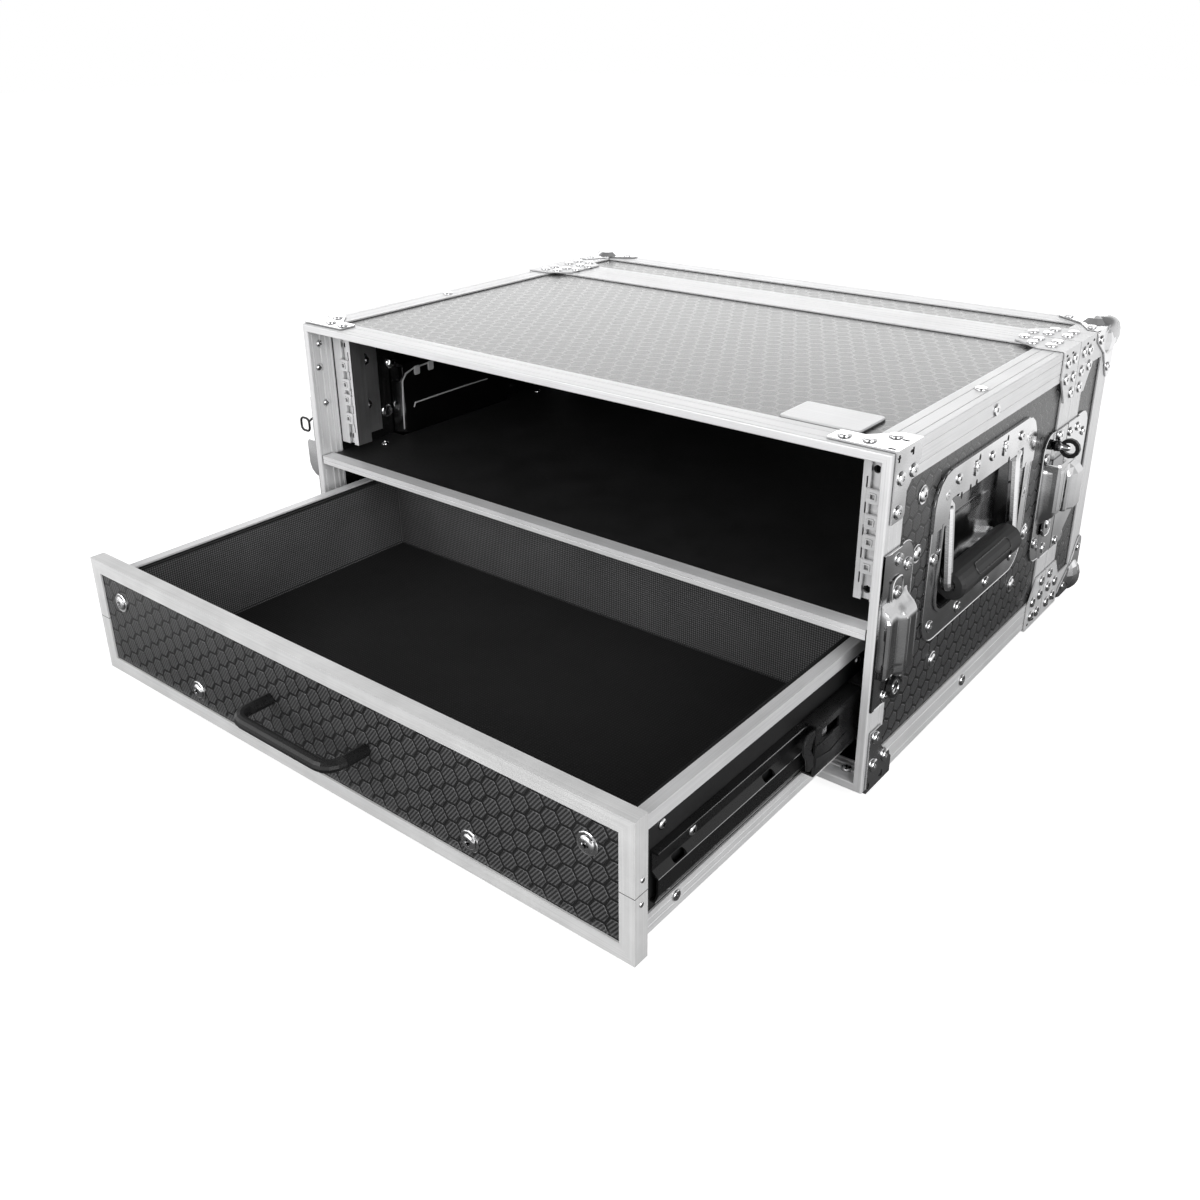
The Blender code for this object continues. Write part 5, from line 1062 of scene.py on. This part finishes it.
def make_corner_domes():
    """The smooth ball over each rear corner, standing on the three leaves of its plate."""
    shape = bmesh.new()
    pole = Vector((1, 1, 1)).normalized()
    first = Vector((1, -1, 0)).normalized()
    second = pole.cross(first)
    limits = []
    for flat in (first * u + second * v for u, v in circle(1.0, DOME_AROUND)):
        limit = math.pi
        while max(pole * math.cos(limit) + flat * math.sin(limit)) < 0:
            limit -= 0.002
        limits.append((flat, limit))
    for side in (1, -1):
        for up in (1, -1):
            def vertex(point):
                x = side * (HALF_WIDTH - DOME_INSET + point.x)
                z = HEIGHT - DOME_INSET + point.z if up > 0 else DOME_INSET - point.z
                return shape.verts.new(at(x, LID_BACK - DOME_INSET + point.y, z))

            tip = vertex(dome_point(pole))
            foot = vertex(DOME_SEAT)
            loops = []
            for ring in range(1, DOME_RINGS + 1):
                leans = [(flat, limit * ring / DOME_RINGS) for flat, limit in limits]
                ways = [pole * math.cos(lean) + flat * math.sin(lean) for flat, lean in leans]
                loops.append([vertex(dome_point(way)) for way in ways])
            for index in range(DOME_AROUND):
                following = (index + 1) % DOME_AROUND
                shape.faces.new((tip, loops[0][index], loops[0][following]))
                shape.faces.new((foot, loops[-1][following], loops[-1][index]))
            stitch(shape, loops)
    make_piece("ball_corner_domes", shape, "rear_lid", "ball", smooth=60)


# Handles

COVER_FACE = SHEET_SIDE + 1.2
COVER_RIVETS = ((97, 177.7), (124.5, 177.7), (149, 177.7), (171, 177.7), (200, 177.7))
DISH_RIVETS = (
    (83, 171.5), (215.6, 172.4), (74, 131), (221, 130), (78.7, 83), (123, 79), (170.6, 79), (214, 83),
)
COVER_TABS = (124.5, 171)
COVER_NOTCHES = ((104.0, 164.6), (117.5, 165.6), (127.0, 165.9), (181.0, 165.6))
GRIP_AXIS = (253.9, 104.2)
GRIP_RADIUS = 10.6
LABEL_LOW = (121, -4.0)
LABEL_HIGH = (177, 4.0)
LABEL_TURN = math.radians(34)


def make_handle_fasteners():
    rivets("handle_frame_rivets", side_places(DISH_RIVETS, SHEET_SIDE), "case", 4.0)
    rivets("handle_cover_rivets", side_places(COVER_RIVETS, COVER_FACE), "case", 3.5)
    shape = bmesh.new()
    slots = []
    tab = rounded_outline((-2.6, -5.6), (2.6, 4.4), 0.9, 2)
    for side in (1, -1):
        for y in COVER_TABS:
            eased_prism(shape, tab, wall(side, COVER_FACE, y - 0.6, 177.5), 1.0, 0.3)
            slots.append(wall(side, COVER_FACE, y + 3.4, 182.6))
        slots += [wall(side, COVER_FACE, y, z) for y, z in COVER_NOTCHES]
    make_piece("handle_cover_tabs", shape, "case", "chrome")
    dark_slots("handle_cover_slots", slots, "case", 1.3, 2.4)


def make_grip_labels():
    """The moulded rim of the bare label field on each handle grip."""
    outline = rounded_outline(LABEL_LOW, LABEL_HIGH, 3.0, 4)
    for side, end in ((1, "right"), (-1, "left")):
        shape = bmesh.new()
        path = []
        for y, along in outline:
            angle = LABEL_TURN + along / GRIP_RADIUS
            x = GRIP_AXIS[0] + GRIP_RADIUS * math.cos(angle)
            path.append(at(side * x, y, GRIP_AXIS[1] + GRIP_RADIUS * math.sin(angle)))
        tube(shape, path, 0.55, closed=True)
        make_piece("grip_label_rim_" + end, shape, "handle_" + end, "black_plastic")


# Drawer

DRAWER_SCREWS = ((208.0, 71.5), (125.4, 32.4))
TRIM_RIVETS = ((-202.6, 61.6), (-203.4, 47.4))
TRAY_SCREWS = ((-174, 72.4), (30, 72.4))
SLIDE_SCREWS = ((-149.5, 54.5), (-10, 54.5))
BASE_RAIL_RIVETS = ((-163, 21.5), (-20, 21.5))
LINING_THICK = 3.5


def far_side(node_name, corner=1):
    """How far out a node's box reaches in millimetres, or where it starts, with corner 0."""
    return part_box(node_name)[corner].x / MM


def make_drawer_fasteners():
    face = (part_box("drawer_front_panel")[0].y - ORIGIN.y) / MM
    places = [(at(side * x, face, z), (0, -1, 0)) for x, z in DRAWER_SCREWS for side in (1, -1)]
    heads("drawer_front_screws", places, "drawer", 4.9, 1.6, washer=7.0)
    places = side_places(TRIM_RIVETS, far_side("drawer_front_trim"))
    heads("drawer_trim_rivets", places, "drawer", 1.6, 0.6, recess="none", rim=0.15)
    places = side_places(TRAY_SCREWS, far_side("drawer_tray"))
    places += side_places(SLIDE_SCREWS, far_side("slide_drawer_right", 0) + 1.2)
    heads("drawer_side_screws", places, "drawer", 3.2, 1.5)
    places = side_places(BASE_RAIL_RIVETS, far_side("drawer_base_rail_right"))
    rivets("drawer_rail_rivets", places, "drawer", 3.3, 1.2)


def make_lining():
    """The soft lining of the drawer: a thin quilted tray, open to the front, in place of its node."""
    low, high = ((corner - FRONT_LOW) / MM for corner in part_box("drawer_lining"))
    outer = far_side("drawer_lining")
    inner = outer - LINING_THICK
    front, back, bottom, top = low.y, high.y, low.z, high.z
    rear = back - LINING_THICK
    shape = bmesh.new()

    def corners(plan, z):
        return [shape.verts.new(at(x, y, z)) for x, y in plan]

    outside = ((-outer, front), (-outer, back), (outer, back), (outer, front))
    inside = ((inner, front), (inner, rear), (-inner, rear), (-inner, front))
    base = corners(outside, bottom)
    rim = corners(outside + inside, top)
    foot = corners(inside, bottom + LINING_THICK)
    for face in (base, rim, foot):
        shape.faces.new(face)
    for index in range(3):
        shape.faces.new((base[index], base[index + 1], rim[index + 1], rim[index]))
        shape.faces.new((rim[index + 4], rim[index + 5], foot[index + 1], foot[index]))
    shape.faces.new((base[3], base[0], rim[0], rim[7], foot[3], foot[0], rim[4], rim[3]))
    bmesh.ops.bevel(shape, geom=list(shape.edges), offset=0.9 * MM, segments=2, affect="EDGES")
    piece = make_piece("drawer_lining_cloth", shape, "drawer", "lining")
    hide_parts("drawer_lining")


# Plate on top

PLATE_LOW = (167, 24)
PLATE_HIGH = (220, 58)
PLATE_THICK = 2.4
PLATE_EASE = 0.35


def plate_outline(grow, radius):
    """The plate's outline, made larger all round."""
    low = [value - grow for value in PLATE_LOW]
    high = [value + grow for value in PLATE_HIGH]
    return rounded_outline(low, high, radius)


def make_name_plate():
    """The bare plate on the top board, with an eased upper edge, and a dark rim of painted shadow round its
    foot.
    """
    place = Matrix.Translation(at(0, 0, HEIGHT - BOARD_DROP + 0.05))
    outline = plate_outline(0, 2.5)
    shape = bmesh.new()
    rim = PLATE_THICK - PLATE_EASE
    stack(shape, place, ((outline, 0.0), (outline, rim), (plate_outline(-PLATE_EASE, 2.2), PLATE_THICK)))
    make_piece("name_plate", shape, "case", "aluminium_x")
    shape = bmesh.new()
    # Painted shadow: a dark sheet a little larger than the plate, showing as a dark line round its foot
    eased_prism(shape, plate_outline(PLATE_EASE, 2.8), place, 1.0, 0.25)
    make_piece("name_plate_shadow_rim", shape, "case", "black_plastic")


make_side_fasteners()
make_latch_fasteners()
make_latch_details()
make_latch_hoods()
make_latch_ridges()
make_plate_rims()
make_left_latch_details()
make_slide_details()
make_dish_details()
make_inner_fasteners()
make_top_fasteners()
make_corner_rivets()
make_corner_domes()
make_handle_fasteners()
make_grip_labels()
make_drawer_fasteners()
make_lining()
make_name_plate()


# Studio

FLOOR_SIZE = 9.0
FLOOR_DROP = 0.0005
FLOOR_COLOUR = 0.55
FLOOR_GLOW = 0.85
# How brightly the floor glows in metal close to the case and far out: a painted shadow fading between the
# near and far distances below
FLOOR_MIRRORED = (0.015, 1.0)
FLOOR_NEAR = 0.40
FLOOR_FAR = 0.80
WORLD_LEVEL = 0.32
WHITE = (1, 1, 1, 1)

# Name, place, target, size and power
LAMPS = (
    ("key_lamp", (-0.6, -2.4, 0.95), (0, 0, 0.1), (2.2, 1.6), 33),
    ("side_lamp", (2.3, -1.1, 0.95), (0, 0, 0.1), (1.8, 1.6), 42),
    ("left_lamp", (-1.9, -1.0, 1.0), (0, 0, 0.1), (1.6, 1.6), 8),
    ("back_lamp", (-1.5, 2.1, 0.95), (0, 0.1, 0.2), (2.8, 1.5), 20),
)
CAMERA_LENS = 34.93
CAMERA_SHIFT = (-0.00664, -0.05962)
CAMERA_PLACE = (502.5, -554.9, 433.8)
CAMERA_TURN = (1.1627, 0.0082, 0.6747)


def put_in_scene(name, data):
    thing = bpy.data.objects.new(name, data)
    bpy.context.scene.collection.objects.link(thing)
    return thing


def make_floor():
    """A pale floor that runs out to white and keeps a soft shadow; in metal it shows a painted shadow, darker
    close to the case.
    """
    nodes = surface("studio_floor")
    path = nodes.add("ShaderNodeLightPath").outputs
    mirrored = path["Is Glossy Ray"]
    seen = nodes.math("MAXIMUM", path["Is Camera Ray"], path["Is Transmission Ray"])
    # Painted shadow: in metal the floor glows little near the case and fully further out
    level = nodes.spread(nodes.vector("LENGTH", nodes.place()), FLOOR_NEAR, FLOOR_FAR, *FLOOR_MIRRORED)
    glow = nodes.math("MAXIMUM", nodes.times(seen, FLOOR_GLOW), nodes.times(mirrored, level))
    nodes.put(nodes.shader.inputs["Emission Strength"], glow)
    # Painted shadow: in metal the floor's colour is darker
    value = nodes.times_plus(mirrored, 0.1 - FLOOR_COLOUR, FLOOR_COLOUR)
    nodes.finish(nodes.combine(value, value, value), 0.9, Specular_IOR_Level=0.0, Emission_Color=WHITE)
    shape = bmesh.new()
    corners = ((-1, -1), (1, -1), (1, 1), (-1, 1))
    shape.faces.new([shape.verts.new((u * FLOOR_SIZE, v * FLOOR_SIZE, -FLOOR_DROP)) for u, v in corners])
    mesh = bpy.data.meshes.new("floor")
    shape.to_mesh(mesh)
    shape.free()
    mesh.materials.append(nodes.owner)
    put_in_scene("floor", mesh)


def make_world():
    """White to the camera and in metal, plain soft light on the object, a duller ceiling in metal."""
    world = bpy.data.worlds.new("studio")
    bpy.context.scene.world = world
    nodes = Nodes(world, "Background")
    path = nodes.add("ShaderNodeLightPath").outputs
    seen = nodes.math("MAXIMUM", path["Is Camera Ray"], path["Is Transmission Ray"])
    parts = nodes.separate(nodes.add("ShaderNodeTexCoord").outputs["Generated"])
    ceiling = nodes.spread(parts[2], 0.3, 0.7, 1.0, 0.3)
    front = nodes.spread(parts[1], -0.35, 0.25, 0.4, 1.0)
    mirrored = nodes.times(ceiling, front, path["Is Glossy Ray"])
    diffuse = nodes.times(path["Is Diffuse Ray"], WORLD_LEVEL)
    strength = nodes.math("MAXIMUM", seen, nodes.math("MAXIMUM", mirrored, diffuse))
    nodes.put(nodes.shader.inputs["Strength"], strength)
    nodes.shader.inputs["Color"].default_value = WHITE


def make_lamp(name, place, target, size, power):
    lamp = bpy.data.lights.new(name, "AREA")
    lamp.shape = "RECTANGLE"
    lamp.size, lamp.size_y = size
    lamp.energy = power
    thing = put_in_scene(name, lamp)
    thing.location = place
    thing.rotation_euler = (Vector(target) - Vector(place)).to_track_quat("-Z", "Y").to_euler()


def make_camera():
    """The photograph's camera, solved from the case's own corners."""
    camera = bpy.data.cameras.new("camera")
    camera.sensor_width = 36.0
    camera.sensor_fit = "HORIZONTAL"
    camera.lens = CAMERA_LENS
    camera.shift_x, camera.shift_y = CAMERA_SHIFT
    camera.clip_start = 0.01
    thing = put_in_scene("camera", camera)
    thing.location = at(*CAMERA_PLACE)
    thing.rotation_euler = Euler(CAMERA_TURN, "XYZ")
    bpy.context.scene.camera = thing


make_floor()
make_world()
for lamp_values in LAMPS:
    make_lamp(*lamp_values)
make_camera()

bpy.context.scene.view_settings.view_transform = "Standard"
